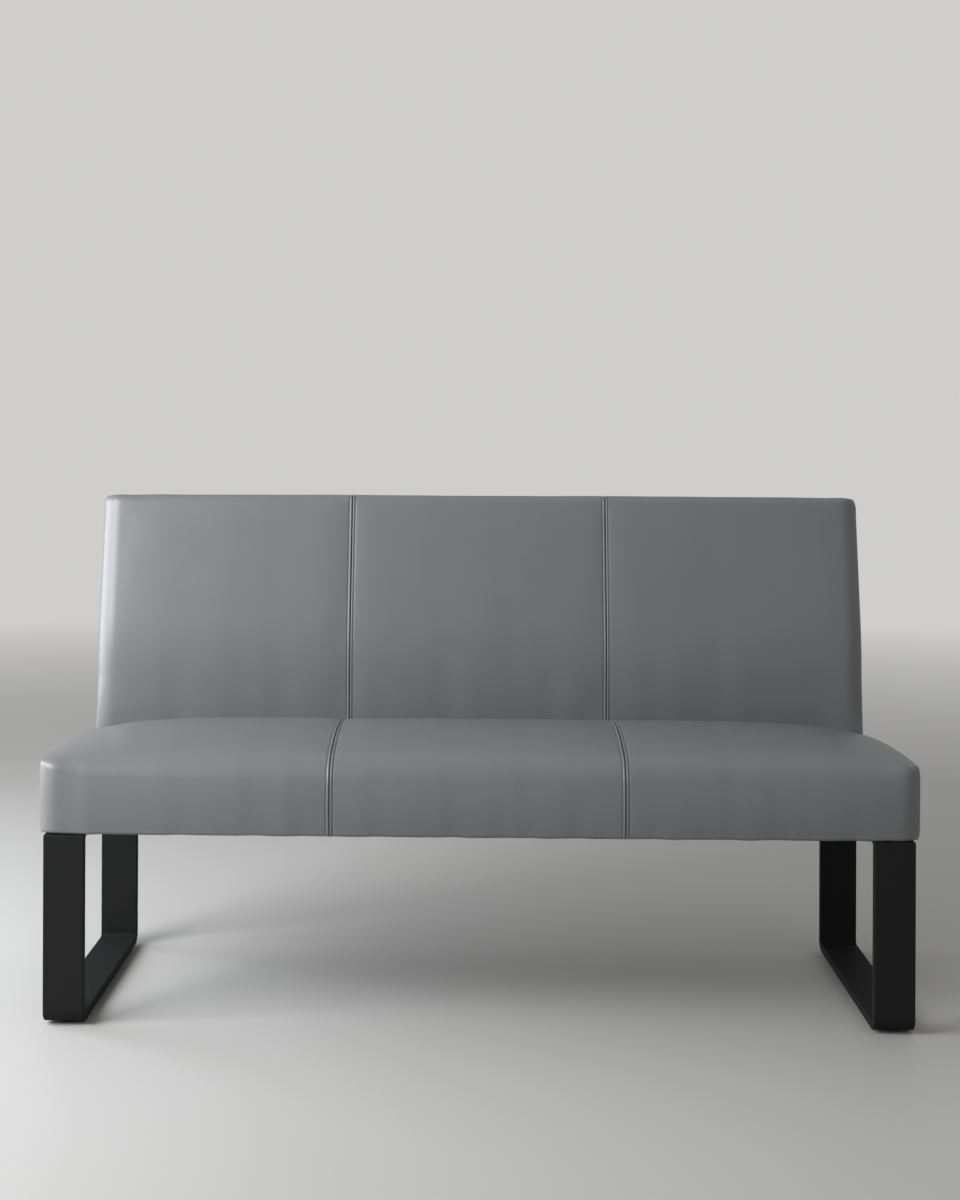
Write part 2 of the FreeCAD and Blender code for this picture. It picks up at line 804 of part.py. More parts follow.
dust_cover = box(
    (-half_width + dust_cover_margin, seat_front + dust_cover_margin, seat_underside),
    (half_width - dust_cover_margin, bottom_rail_rear, cover_bottom),
)
for x, y in leg_bolt_places:
    hole = rod(bolt_hole_radius, dust_cover_thickness, (x, y, seat_underside))
    dust_cover = dust_cover.cut(hole).cut(mirrored(hole))
save("dust_cover", dust_cover)
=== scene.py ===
import math

import bmesh
import bpy
import numpy as np
from mathutils import Matrix, Vector


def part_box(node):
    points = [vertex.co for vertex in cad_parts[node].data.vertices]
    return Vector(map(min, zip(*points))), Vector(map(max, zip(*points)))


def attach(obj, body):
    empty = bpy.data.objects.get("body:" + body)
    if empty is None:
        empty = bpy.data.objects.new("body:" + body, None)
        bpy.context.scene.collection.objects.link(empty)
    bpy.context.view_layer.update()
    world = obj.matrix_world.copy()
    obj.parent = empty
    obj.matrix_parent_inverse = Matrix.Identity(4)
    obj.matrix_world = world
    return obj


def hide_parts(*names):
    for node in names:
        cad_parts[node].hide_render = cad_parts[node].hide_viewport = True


# A three-seat dining bench with a padded seat and backrest in grey faux leather.
# Outlines are worked out in millimetres, as the bench was drawn, and made metres in the mesh.

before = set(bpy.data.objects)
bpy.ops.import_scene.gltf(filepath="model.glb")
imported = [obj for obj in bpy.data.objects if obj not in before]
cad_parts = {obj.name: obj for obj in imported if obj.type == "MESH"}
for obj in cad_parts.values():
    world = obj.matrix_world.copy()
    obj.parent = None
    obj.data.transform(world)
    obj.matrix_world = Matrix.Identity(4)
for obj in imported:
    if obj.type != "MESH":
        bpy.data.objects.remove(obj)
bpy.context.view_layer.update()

MM = 0.001

# Sizes of the whole bench
HALF_WIDTH = 755.0
BENCH_HEIGHT = 890.0
SEAT_DEPTH = 464.0
UNDERSIDE = 327.0
PANEL_COUNT = 3
PANEL_SEAM_X = HALF_WIDTH / PANEL_COUNT
PANEL_CROWN = 6.0
SEAM_END_X = HALF_WIDTH - PANEL_CROWN
END_ROLL = 16.0
END_ROLL_REACH = 32.0
LEATHER = 1.2
LINING = 0.8
COVER_BOTTOM = UNDERSIDE + LINING
HAIR_GAP = 0.3

# Seat outline
CREST_RISE = 138.5
REAR_RISE = 115.0
TOP_CROWN = 32.0
CREST_SLOPE = 14.6
REAR_SLOPE = 21.2
CREST_ROUND = 55.0
REAR_ROUND = 12.0
CORNER_ROUND = 10.0
BOTTOM_DRAW = 5.0
TOP_DRAW = 3.5
FRONT_TILT = 11.0
BOTTOM_FOLD = 8.0
FRONT_HEM = 30.0
CREST_END_DROP = 13.5
REAR_END_DROP = 11.0
TOP_END_CROWN = 7.0
FRONT_END_DRAW = 3.0
SEAT_REACH = 85.0
REAR_TUCK = 46.0
SEAT_ROWS = (5, 7, 26, 18, 92, 8, 6)

# Backrest outline
BACK_THICKNESS = 72.0
LEAN = 12.4
BEND_SHARE = 0.153
BEND_RADIUS = 560.0
TOP_FRONT_ROUND = 18.0
TOP_REAR_ROUND = 14.0
REAR_FOLD = 6.0
REAR_HEM = 25.0
BACK_END_DRAW = 3.0
TOP_END_DRAW = 3.0
BACK_REACH = 60.0
BACK_FOOT = 384.0
BACK_ROWS = (26, 22, 42, 12, 8, 9)
REAR_ROWS = (30, 14, 26, 6, 5)

CREST = UNDERSIDE + CREST_RISE
REAR = UNDERSIDE + REAR_RISE
BEND_HEIGHT = CREST + BEND_SHARE * (BENCH_HEIGHT - CREST)
SIN_LEAN = math.sin(math.radians(LEAN))
COS_LEAN = math.cos(math.radians(LEAN))
LEAN_LENGTH = TOP_FRONT_ROUND + (
    BENCH_HEIGHT - TOP_FRONT_ROUND - BEND_HEIGHT - (BEND_RADIUS - TOP_FRONT_ROUND) * SIN_LEAN
) / COS_LEAN
BENCH_DEPTH = (
    SEAT_DEPTH
    + BEND_RADIUS
    - (BEND_RADIUS - BACK_THICKNESS + TOP_REAR_ROUND) * COS_LEAN
    + (LEAN_LENGTH - TOP_REAR_ROUND) * SIN_LEAN
    + TOP_REAR_ROUND
)
SEAT_FRONT = -BENCH_DEPTH / 2
BACK_FRONT = SEAT_FRONT + SEAT_DEPTH
SEAT_REAR = BACK_FRONT - HAIR_GAP
BEND_CENTRE = (BACK_FRONT + BEND_RADIUS, BEND_HEIGHT)

# Upholstery: how the leather swells between its seams
PANEL_INSET = 1.8
END_EASE = 70.0
SWELL_LIMIT = 2.6
SINK_SHARE = 0.15
EVENING_ROUNDS = 5
SEWN_LIMIT = 0.004

# The simulated cloth: its grid, and how the foam holds it while it is blown up
CLOTH_DENSITY = 0.33
CLOTH_SPACING = 12.4
CLOTH_FRAMES = 20
FOAM_HOLD = 0.1
CLOTH_SETTINGS = {
    "quality": 4,
    "mass": 0.35,
    "tension_stiffness": 18,
    "compression_stiffness": 18,
    "shear_stiffness": 8,
    "bending_stiffness": 1.5,
    "pin_stiffness": 3.0,
    "use_pressure": True,
    "uniform_pressure_force": 5.0,
}

# Seams: the stitches, the mesh's columns beside each seam, and how the leather rises at them
STITCH_OFFSET = 5.8
STITCH_PITCH = 5.0
STITCH_LENGTH = 3.0
STITCH_THICKNESS = 0.9
STITCH_LIFT = 0.05
STITCH_SHARES = (0.93, 1.07)
STITCH_PATH_POINTS = 4
HOLE_RADIUS = 0.75
COLUMN_SPACING = 7.0
SEAM_STEPS = (
    0.15, 0.4, 0.9, 1.5, 2.1, 2.7, 3.4, 4.3, 5.1, 5.8, 6.5, 7.4, 8.6, 10.5, 13.0, 17.0, 22.0, 29.0,
)
SEAM_RELIEF = (
    -3.0, -1.5, -0.4, 0.3, 0.65, 0.75, 0.55, 0.1, -0.35, -0.55, -0.35, -0.12, 0.02, 0.0,
)
END_STEPS = (0.0, 0.4, 0.9, 1.6, 2.5, 3.6, 5.0, 7.0, 9.5, 12.5, 16.0, 21.0, 27.0)
END_SINK = 0.1
END_SINK_REACH = 0.4

# Gathers beside the seams: the millimetres per radian, share, turn by side and phase of each
GATHERS = ((9.1, 1.0, 1.7, 0.0), (5.3, 0.8, 2.9, 0.6), (15.7, 0.6, -1.1, 0.0))
GATHER_DEPTH = 0.11
GATHER_START = 9.0
GATHER_FADE = 26.0
GATHER_SIDE = 2.5

# Soft upright waves in the leather: the length, depth and phase of each
CREASES = ((113.0, 0.5, 0.4), (67.0, 0.3, 2.1), (43.0, 0.16, 4.4))
CREASE_SWAY = 0.7
CREASE_SWAY_TURN = 1.1
CREASE_REST = 0.22
CREASE_START = 14.0
# How unevenly high they reach: a share, millimetres per radian, and a phase
CREASE_HEIGHTS = (0.35, 61.0, 0.8)
# On the seat and on the backrest: the stop where they are strongest, their reach and stretch
SEAT_CREASE = (1.6, 1.1, 1.0)
BACK_CREASE = (0.7, 0.9, 1.55)


# Side-view courses


def toward(centre, radius, degrees):
    angle = math.radians(degrees)
    return np.array([centre[0] + radius * math.cos(angle), centre[1] + radius * math.sin(angle)])


class Course:
    """A run of lines and arcs in the side view, with a count of rows for each in turn."""

    def __init__(self, start, counts, density):
        self.rows = [np.array(start, float)]
        self.stops = [0.0]
        self.counts = iter(counts)
        self.density = density

    def add(self, rows_of):
        count = max(2, round(next(self.counts) * self.density))
        base = self.stops[-1]
        for k in range(1, count + 1):
            self.rows.append(rows_of(k / count))
            self.stops.append(base + k / count)
        return self

    def line(self, end):
        start = self.rows[-1]
        end = np.array(end, float)
        return self.add(lambda t: start + (end - start) * t)

    def sweep(self, centre, radius, first, last):
        return self.add(lambda t: toward(centre, radius, first + (last - first) * t))

    def bow(self, middle, end):
        """An arc through a middle point to an end."""
        a, b, c = self.rows[-1], np.array(middle, float), np.array(end, float)
        squares = np.array([p @ p for p in (a, b, c)])
        heights = np.array([b[1] - c[1], c[1] - a[1], a[1] - b[1]])
        depths = np.array([c[0] - b[0], a[0] - c[0], b[0] - a[0]])
        double = 2 * (np.array([a[0], b[0], c[0]]) @ heights)
        centre = np.array([squares @ heights, squares @ depths]) / double
        radius = float(np.linalg.norm(a - centre))
        first, last = (math.degrees(math.atan2(p[1] - centre[1], p[0] - centre[0])) for p in (a, c))
        last = first + (last - first + 180) % 360 - 180
        return self.sweep(centre, radius, first, last)


def faded(x, reach):
    return math.exp((abs(x) - SEAM_END_X) / reach)


def roll(x):
    """How far the front faces round back at their upright end edges."""
    return END_ROLL * max(0.0, 1.0 - (SEAM_END_X - abs(x)) / END_ROLL_REACH) ** 2


def eased(value):
    value = min(max(value, 0.0), 1.0)
    return value * value * (3 - 2 * value)


def panel_inset(x):
    """The leather lies lower than the drawn outline, and swells up to it between the seams."""
    return PANEL_INSET * eased((SEAM_END_X - abs(x)) / END_EASE)


def seat_course(x, density=1.0):
    """From the hem under the front, up and over the top and down in front of the backrest."""
    inset = panel_inset(x)
    fade = faded(x, SEAT_REACH)
    front = SEAT_FRONT + FRONT_END_DRAW * fade + roll(x)
    bottom = front + BOTTOM_DRAW
    top = front + TOP_DRAW
    crest = CREST - CREST_END_DROP * fade
    rear = REAR - REAR_END_DROP * fade
    crest_round = CREST_ROUND + (CORNER_ROUND - CREST_ROUND) * fade
    crown = TOP_CROWN + (TOP_END_CROWN - TOP_CROWN) * fade
    crest_end = 90 + CREST_SLOPE * (1 - fade)
    rear_start = 90 - REAR_SLOPE * (1 - fade)
    fold = (bottom + BOTTOM_FOLD, COVER_BOTTOM + BOTTOM_FOLD)
    crest_tip = toward((0, 0), crest_round, crest_end)
    crest_centre = (top + crest_round, crest - crest_tip[1])
    rear_tip = toward((0, 0), REAR_ROUND, rear_start)
    rear_centre = (SEAT_REAR - REAR_ROUND, rear - rear_tip[1])
    middle_y = (crest_centre[0] + crest_tip[0] + rear_centre[0] + rear_tip[0]) / 2
    crest_start = toward(crest_centre, crest_round - inset, 180 - FRONT_TILT)
    rear_top = toward(rear_centre, REAR_ROUND - inset, rear_start)
    course = Course((SEAT_FRONT + FRONT_HEM, COVER_BOTTOM), SEAT_ROWS, density)
    course.line((fold[0], COVER_BOTTOM))
    course.sweep(fold, BOTTOM_FOLD - inset / 2, 270, 180)
    course.bow((front + inset, (fold[1] + crest_start[1]) / 2), crest_start)
    course.sweep(crest_centre, crest_round - inset, 180 - FRONT_TILT, crest_end)
    course.bow((middle_y, (crest + rear) / 2 + crown - inset), rear_top)
    course.sweep(rear_centre, REAR_ROUND - inset, rear_start, 0)
    return course.line((SEAT_REAR - inset, rear - REAR_TUCK))


def leaning(inset, along):
    base = toward(BEND_CENTRE, BEND_RADIUS - inset, 180 - LEAN)
    return toward(base, along, 90 - LEAN)


def back_course(x, density=1.0):
    """From the foot of the backrest's front, up and over the top to its rear edge."""
    inset = panel_inset(x)
    fade = faded(x, BACK_REACH)
    front = BACK_END_DRAW * fade + roll(x)
    top = LEAN_LENGTH - TOP_END_DRAW * fade
    front_centre = leaning(front + TOP_FRONT_ROUND, top - TOP_FRONT_ROUND)
    rear_centre = leaning(BACK_THICKNESS - TOP_REAR_ROUND, top - TOP_REAR_ROUND)
    bend = BEND_RADIUS - front - inset
    course = Course((BACK_FRONT + inset, BACK_FOOT), BACK_ROWS, density)
    course.line((BEND_CENTRE[0] - bend, BEND_CENTRE[1]))
    course.sweep(BEND_CENTRE, bend, 180, 180 - LEAN)
    course.line(toward(front_centre, TOP_FRONT_ROUND - inset, 180 - LEAN))
    course.sweep(front_centre, TOP_FRONT_ROUND - inset, 180 - LEAN, 90 - LEAN)
    course.line(toward(rear_centre, TOP_REAR_ROUND - inset, 90 - LEAN))
    return course.sweep(rear_centre, TOP_REAR_ROUND - inset, 90 - LEAN, -LEAN)


def rear_course(x, density=1.0):
    """From the rear upper edge down the back, round under it to the hem."""
    top = LEAN_LENGTH - TOP_END_DRAW * faded(x, BACK_REACH) - TOP_REAR_ROUND
    rear = BEND_RADIUS - BACK_THICKNESS
    foot = BEND_CENTRE[0] - rear - REAR_FOLD
    fold = (foot, COVER_BOTTOM + REAR_FOLD)
    course = Course(leaning(BACK_THICKNESS, top), REAR_ROWS, density)
    course.line(toward(BEND_CENTRE, rear, 180 - LEAN))
    course.sweep(BEND_CENTRE, rear, 180 - LEAN, 180)
    course.line(toward(fold, REAR_FOLD, 0))
    course.sweep(fold, REAR_FOLD, 0, -90)
    return course.line((foot - REAR_HEM, COVER_BOTTOM))


# Grids of points over the cushions, indexed by column along the bench and row along the course


def surface(course_at, columns, density=1.0):
    """The points and the rows' stops of a cushion's outer face at some places along the bench."""
    courses = [course_at(x, density) for x in columns]
    points = np.array([[(x, y, z) for y, z in c.rows] for x, c in zip(columns, courses)])
    return points, np.array(courses[0].stops)


def outward_normals(points, inside):
    """Unit normals of a grid, turned away from a point or line inside the cushion."""
    along = np.gradient(points, axis=0)
    across = np.gradient(points, axis=1)
    normals = np.cross(along, across)
    normals /= np.linalg.norm(normals, axis=2, keepdims=True) + 1e-12
    middle = (points.shape[0] // 2, points.shape[1] // 2)
    if normals[middle] @ (points[middle] - np.array(inside)) < 0:
        normals = -normals
    return normals


def panel_columns(first, last):
    """Places across one panel, close together beside its seams."""
    near_first = END_STEPS if abs(first) > PANEL_SEAM_X + 1 else SEAM_STEPS
    near_last = END_STEPS if abs(last) > PANEL_SEAM_X + 1 else SEAM_STEPS
    low, high = first + near_first[-1], last - near_last[-1]
    count = round((high - low) / COLUMN_SPACING)
    middle = [low + (high - low) * k / count for k in range(1, count)]
    return [first + s for s in near_first] + middle + [last - s for s in near_last[::-1]]


def end_relief(x):
    """The slight sink of the leather into the end seams."""
    return -END_SINK * max(0.0, 1.0 - (SEAM_END_X - abs(x)) / END_SINK_REACH)


def relief_at(x):
    """How far the sewn seams raise or sink the leather."""
    from_seam = abs(abs(x) - PANEL_SEAM_X)
    return float(np.interp(from_seam, SEAM_STEPS[:len(SEAM_RELIEF)], SEAM_RELIEF)) + end_relief(x)


def pucker(points, columns):
    """Slight gathers of the leather beside the seams, fading a few centimetres away."""
    rise = np.zeros(points.shape[:2])
    length = np.cumsum(np.r_[0, np.linalg.norm(np.diff(points[len(columns) // 2], axis=0), axis=1)])
    for i, x in enumerate(columns):
        from_seam = abs(abs(x) - PANEL_SEAM_X)
        side = math.copysign(1.0, abs(x) - PANEL_SEAM_X) + GATHER_SIDE * math.copysign(1.0, x)
        weight = min(1.0, from_seam / GATHER_START) * math.exp(-from_seam / GATHER_FADE)
        waves = sum(
            share * np.sin(length / spread_out + turn * side + phase)
            for spread_out, share, turn, phase in GATHERS
        )
        rise[i] = GATHER_DEPTH * weight * waves
    return rise


def creases(columns, stops, peak, reach, stretch):
    """Soft upright waves, strongest where the leather is pulled tight at its lower edge."""
    x = np.array(columns)[:, None]
    row = stops[None, :]
    waves = 0.0
    for length, depth, phase in CREASES:
        sway = CREASE_SWAY * np.sin(CREASE_SWAY_TURN * row + phase)
        waves = waves + depth * np.sin(2 * math.pi * x / (length * stretch) + phase + sway)
    uneven, spread_out, phase = CREASE_HEIGHTS
    height = reach * (1.0 + uneven * np.sin(x / spread_out + phase))
    strength = CREASE_REST + (1 - CREASE_REST) * np.exp(-((row - peak) / height) ** 2)
    from_seam = np.minimum(np.abs(np.abs(x) - PANEL_SEAM_X), SEAM_END_X - np.abs(x))
    ends = np.clip(2 * row, 0, 1) * np.clip(stops[-1] - row, 0, 1)
    return waves * strength * ends * (1 - np.exp(-from_seam / CREASE_START))


# Cloth: the cover is sewn down along its seams and blown up from inside


def closed_mesh(name, points):
    """A grid closed along its open sides and capped at both ends."""
    columns, rows = points.shape[:2]
    vertices = (points * MM).reshape(-1, 3)
    caps = (points[[0, -1]].mean(axis=1)) * MM
    vertices = np.vstack([vertices, caps])
    faces = []
    for c in range(columns - 1):
        for r in range(rows):
            s = (r + 1) % rows
            faces.append((c * rows + r, (c + 1) * rows + r, (c + 1) * rows + s, c * rows + s))
    for end, cap in ((0, columns * rows), (columns - 1, columns * rows + 1)):
        for r in range(rows):
            faces.append((end * rows + r, end * rows + (r + 1) % rows, cap))
    mesh = bpy.data.meshes.new(name)
    mesh.from_pydata(vertices.tolist(), [], faces)
    shaped = bmesh.new()
    shaped.from_mesh(mesh)
    bmesh.ops.recalc_face_normals(shaped, faces=shaped.faces)
    shaped.to_mesh(mesh)
    shaped.free()
    return mesh


def evened(values):
    """A grid of values with its small wrinkles taken out, and what is sewn down kept at zero."""
    sewn = np.abs(values) < SEWN_LIMIT
    for _ in range(EVENING_ROUNDS):
        ringed = np.pad(values, 1, mode="edge")
        beside = ringed[:-2, 1:-1] + ringed[2:, 1:-1] + ringed[1:-1, :-2] + ringed[1:-1, 2:]
        values = np.where(sewn, 0.0, (beside + 4 * values) / 8)
    return values


def swelling(course_at, free_stops, inside):
    """Where the cover moves when it is blown up: places, stops and moves in millimetres."""
    per_panel = round(2 * PANEL_SEAM_X / CLOTH_SPACING)
    places = np.concatenate([
        np.linspace(-SEAM_END_X, -PANEL_SEAM_X, per_panel + 1)[:-1],
        np.linspace(-PANEL_SEAM_X, PANEL_SEAM_X, per_panel + 1)[:-1],
        np.linspace(PANEL_SEAM_X, SEAM_END_X, per_panel + 1),
    ])
    points, stops = surface(course_at, places, CLOTH_DENSITY)
    free = (stops > free_stops[0]) & (stops < free_stops[1])
    mesh = closed_mesh("cover_cloth", points)
    cloth_cover = bpy.data.objects.new("cover_cloth", mesh)
    bpy.context.scene.collection.objects.link(cloth_cover)
    held = cloth_cover.vertex_groups.new(name="sewn_down")
    rows = len(stops)
    sewn = [
        c * rows + r
        for c, x in enumerate(places)
        for r in range(rows)
        if min(abs(abs(x) - PANEL_SEAM_X), SEAM_END_X - abs(x)) < 1.0 or not free[r]
    ]
    total = len(places) * rows
    held.add(range(total + 2), FOAM_HOLD, "REPLACE")
    held.add(sewn + [total, total + 1], 1.0, "REPLACE")
    cloth = cloth_cover.modifiers.new("blown_up", "CLOTH")
    for key, value in CLOTH_SETTINGS.items():
        setattr(cloth.settings, key, value)
    cloth.settings.effector_weights.gravity = 0
    cloth.settings.vertex_group_mass = held.name
    cloth.point_cache.frame_start = 1
    cloth.point_cache.frame_end = CLOTH_FRAMES
    scene = bpy.context.scene
    for moment in range(1, CLOTH_FRAMES + 1):
        scene.frame_set(moment)
    blown = cloth_cover.evaluated_get(bpy.context.evaluated_depsgraph_get())
    moved = np.empty(len(blown.data.vertices) * 3)
    blown.data.vertices.foreach_get("co", moved)
    scene.frame_set(1)
    moved = moved.reshape(-1, 3)[:total].reshape(len(places), rows, 3) / MM
    bpy.data.objects.remove(cloth_cover)
    bpy.data.meshes.remove(mesh)
    normals = outward_normals(points, inside)
    swelled = np.einsum("crk,crk->cr", moved - points, normals)
    print("cloth swelled at most", round(float(swelled.max()), 2), "mm")
    risen = SWELL_LIMIT * np.tanh(np.maximum(swelled, 0) / SWELL_LIMIT)
    swelled = evened(risen + SINK_SHARE * np.minimum(swelled, 0))
    return places, stops, normals * swelled[..., None]


def moves_at(swell, columns, stops):
    """The cloth's moves, read off at other places and stops."""
    places, coarse_stops, moves = swell
    by_column = np.array([
        [np.interp(columns, places, moves[:, r, k]) for k in range(3)]
        for r in range(len(coarse_stops))
    ])
    return np.array([
        [np.interp(stops, coarse_stops, by_column[:, k, c]) for k in range(3)]
        for c in range(len(columns))
    ]).transpose(0, 2, 1)


def upholstered(course_at, swell, columns, inside):
    """A panel's finished outer face: drawn course, cloth, gathers, waves and sewn relief."""
    points, stops = surface(course_at, columns)
    points = points + moves_at(swell, columns, stops)
    normals = outward_normals(points, inside)
    rise = np.array([relief_at(x) for x in columns])[:, None] + pucker(points, columns)
    rise += creases(columns, stops, *(SEAT_CREASE if course_at is seat_course else BACK_CREASE))
    return points + normals * rise[..., None], normals, stops


# Meshes

# Points nearer than this are one, in metres, and edges folded more than this stay crisp, in degrees
MERGED = 1e-6
FOLD_ANGLE = 50


def piece(name, mesh, finish):
    made = bpy.data.objects.new(name, mesh)
    bpy.context.scene.collection.objects.link(made)
    mesh.materials.clear()
    mesh.materials.append(finish)
    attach(made, "frame")
    return made


def walled(name, outer, inner, maps=None, rims=("columns", "rows")):
    """A closed mesh between an outer and an inner grid of points, in millimetres."""
    columns, rows = outer.shape[:2]
    total = columns * rows
    vertices = np.vstack([outer.reshape(-1, 3), inner.reshape(-1, 3)]) * MM
    index = np.arange(total).reshape(columns, rows)
    faces = []
    for c in range(columns - 1):
        for r in range(rows - 1):
            quad = (c * rows + r, (c + 1) * rows + r, (c + 1) * rows + r + 1, c * rows + r + 1)
            faces.append(quad)
            faces.append(tuple(total + i for i in quad[::-1]))
    borders = []
    if "columns" in rims:
        borders += [index[:, 0], index[:, -1]]
    if "rows" in rims:
        borders += [index[0], index[-1]]
    edges = [pair for border in borders for pair in zip(border[:-1].tolist(), border[1:].tolist())]
    faces += [(a, b, b + total, a + total) for a, b in edges]
    mesh = bpy.data.meshes.new(name)
    mesh.from_pydata(vertices.tolist(), [], faces)
    if maps is not None:
        layer = mesh.uv_layers.new(name="seam_map")
        flat = np.vstack([maps.reshape(-1, 2)] * 2)
        corners = np.empty(len(mesh.loops), dtype=np.int32)
        mesh.loops.foreach_get("vertex_index", corners)
        layer.data.foreach_set("uv", flat[corners].astype(np.float32).ravel())
    shaped = bmesh.new()
    shaped.from_mesh(mesh)
    bmesh.ops.remove_doubles(shaped, verts=shaped.verts, dist=MERGED)
    bmesh.ops.dissolve_degenerate(shaped, edges=shaped.edges, dist=MERGED)
    bmesh.ops.recalc_face_normals(shaped, faces=shaped.faces)
    if shaped.calc_volume(signed=True) < 0:
        bmesh.ops.reverse_faces(shaped, faces=shaped.faces)
    for face in shaped.faces:
        face.smooth = True
    shaped.to_mesh(mesh)
    shaped.free()
    mesh.set_sharp_from_angle(angle=math.radians(FOLD_ANGLE))
    return mesh


# Finishes


class Reading:
    """A value that varies over a surface, for use in plain arithmetic."""

    def __init__(self, finish, socket):
        self.finish = finish
        self.socket = socket

    def worked(self, operation, *values):
        made = self.finish.add("ShaderNodeMath", {"operation": operation}, *values)
        return Reading(self.finish, made.outputs[0])

    def __add__(self, other):
        return self.worked("ADD", self, other)

    def __radd__(self, other):
        return self.worked("ADD", other, self)

    def __sub__(self, other):
        return self.worked("SUBTRACT", self, other)

    def __rsub__(self, other):
        return self.worked("SUBTRACT", other, self)

    def __mul__(self, other):
        return self.worked("MULTIPLY", self, other)

    def __rmul__(self, other):
        return self.worked("MULTIPLY", other, self)

    def __truediv__(self, other):
        return self.worked("DIVIDE", self, other)

    def __abs__(self):
        return self.worked("ABSOLUTE", self)

    def clipped(self):
        return self.worked("MINIMUM", self.worked("MAXIMUM", self, 0.0), 1.0)

    def fraction(self):
        return self.worked("FRACT", self)

    def power(self, exponent):
        return self.worked("POWER", self, exponent)

    def sine(self):
        return self.worked("SINE", self)


class NodeTree:
    """Nodes that are added by their type, settings and inputs, and joined as they are added."""

    def __init__(self, tree):
        self.tree = tree
        self.tree.nodes.clear()

    def add(self, kind, settings=None, *ordered, **named):
        made = self.tree.nodes.new(kind)
        for key, value in (settings or {}).items():
            setattr(made, key, value)
        pairs = list(enumerate(ordered)) + [(k.replace("_", " "), v) for k, v in named.items()]
        for key, value in pairs:
            self.join(made.inputs[key], value)
        return made

    def join(self, socket, value):
        """Set an input to a number, a vector, a colour of three parts, or another node's output."""
        value = value.socket if isinstance(value, Reading) else value
        if isinstance(value, bpy.types.NodeSocket):
            self.tree.links.new(value, socket)
        elif socket.type == "RGBA":
            socket.default_value = (*value, 1.0)
        else:
            socket.default_value = value


class Finish(NodeTree):
    """One material, which reads the place on the object in metres."""

    def __init__(self, name):
        self.material = bpy.data.materials.new(name)
        self.material.use_nodes = True
        super().__init__(self.material.node_tree)
        self.place = self.add("ShaderNodeTexCoord").outputs["Object"]

    def stretched(self, factors):
        """The place on the object, scaled by three factors."""
        settings = {"operation": "MULTIPLY"}
        return self.add("ShaderNodeVectorMath", settings, self.place, factors).outputs[0]

    def noise(self, scale, detail=2.0, roughness=0.5, place=None):
        made = self.add(
            "ShaderNodeTexNoise", Vector=place or self.place, Scale=scale, Detail=detail,
            Roughness=roughness,
        )
        return Reading(self, made.outputs[0])

    def cells(self, scale, feature="F1"):
        settings = {"feature": feature}
        made = self.add("ShaderNodeTexVoronoi", settings, Vector=self.place, Scale=scale)
        return Reading(self, made.outputs["Distance"])

    def axis(self, letter):
        parts = self.add("ShaderNodeSeparateXYZ", None, self.place)
        return Reading(self, parts.outputs[letter])

    def blended(self, share, first, second):
        """A colour between two, by a share."""
        made = self.add("ShaderNodeMix", {"data_type": "RGBA"})
        for index, value in ((0, share), (6, first), (7, second)):
            self.join(made.inputs[index], value)
        return made.outputs[2]

    def bumped(self, height, distance, strength=1.0):
        made = self.add("ShaderNodeBump", Height=height, Distance=distance, Strength=strength)
        return made.outputs[0]

    def shaded(self, colour, roughness, normal, **constants):
        shader = self.add(
            "ShaderNodeBsdfPrincipled", Base_Color=colour, Roughness=roughness, Normal=normal,
            **constants,
        )
        self.add("ShaderNodeOutputMaterial", None, shader.outputs[0])
        return self.material


def grey_leather(name, sewn):
    """Satin faux leather: fine pebbled grain, a soft mottle, and needle holes along sewn seams,
    with painted shade in the seam groove, along the stitch rows and in the holes.
    """
    made = Finish(name)
    mottle = made.noise(3.2, 3.0)
    streak = made.noise(26.0, 2.0)
    grain = made.cells(760.0, "SMOOTH_F1")
    pores = made.noise(1900.0, 2.0)
    tone = mottle * 0.7 + streak * 0.3
    colour = made.blended(tone, (0.142, 0.145, 0.149), (0.168, 0.171, 0.175))
    height = grain * 0.5 + pores * 0.25
    roughness = 0.41 + streak * 0.08 + grain * 0.06
    if sewn:
        seam = made.add("ShaderNodeUVMap", {"uv_map": "seam_map"}).outputs[0]
        parts = made.add("ShaderNodeSeparateXYZ", None, seam)
        offset = Reading(made, parts.outputs[0])
        count = Reading(made, parts.outputs[1])
        row = (1.7 - abs(offset - STITCH_OFFSET) / HOLE_RADIUS).clipped()
        from_hole = abs((count + 0.5).fraction() - 0.5) * (STITCH_PITCH / HOLE_RADIUS)
        hole = (1.8 - from_hole).clipped()
        # Painted shade: the seam's groove, the stitch rows and the needle holes are darkened
        # towards near black.
        groove = (1.0 - offset / 0.8).clipped()
        painted_seam_shade = (groove * 0.4 + row * 0.04 + row * hole * 0.95).clipped()
        colour = made.blended(painted_seam_shade, colour, (0.015, 0.016, 0.017))
        height = height - row * hole * 9.0
    normal = made.bumped(height, 0.00006, 0.8)
    return made.shaded(colour, roughness, normal, Coat_Weight=0.3, Coat_Roughness=0.3)


def thread():
    """Twisted polyester thread in the leather's grey."""
    made = Finish("grey_thread")
    ply = made.noise(1500.0, 2.0)
    colour = made.blended(ply, (0.17, 0.175, 0.18), (0.29, 0.295, 0.3))
    return made.shaded(colour, 0.5 + ply * 0.2, made.bumped(ply, 0.0002))


def powder_coat():
    """Matte black powder coat with a fine orange peel."""
    made = Finish("black_powder_coat")
    peel = made.noise(620.0, 2.0)
    cloud = made.noise(7.0, 3.0)
    dust = made.cells(240.0)
    speck = (1.0 - dust * 6.0).clipped() * made.noise(11.0)
    colour = made.blended(cloud, (0.0155, 0.0156, 0.0157), (0.0195, 0.0196, 0.0197))
    colour = made.blended(speck * 0.12, colour, (0.09, 0.088, 0.084))
    roughness = 0.5 + cloud * 0.12 + peel * 0.06
    return made.shaded(colour, roughness, made.bumped(peel, 0.0004, 0.5), Specular_IOR_Level=0.04)


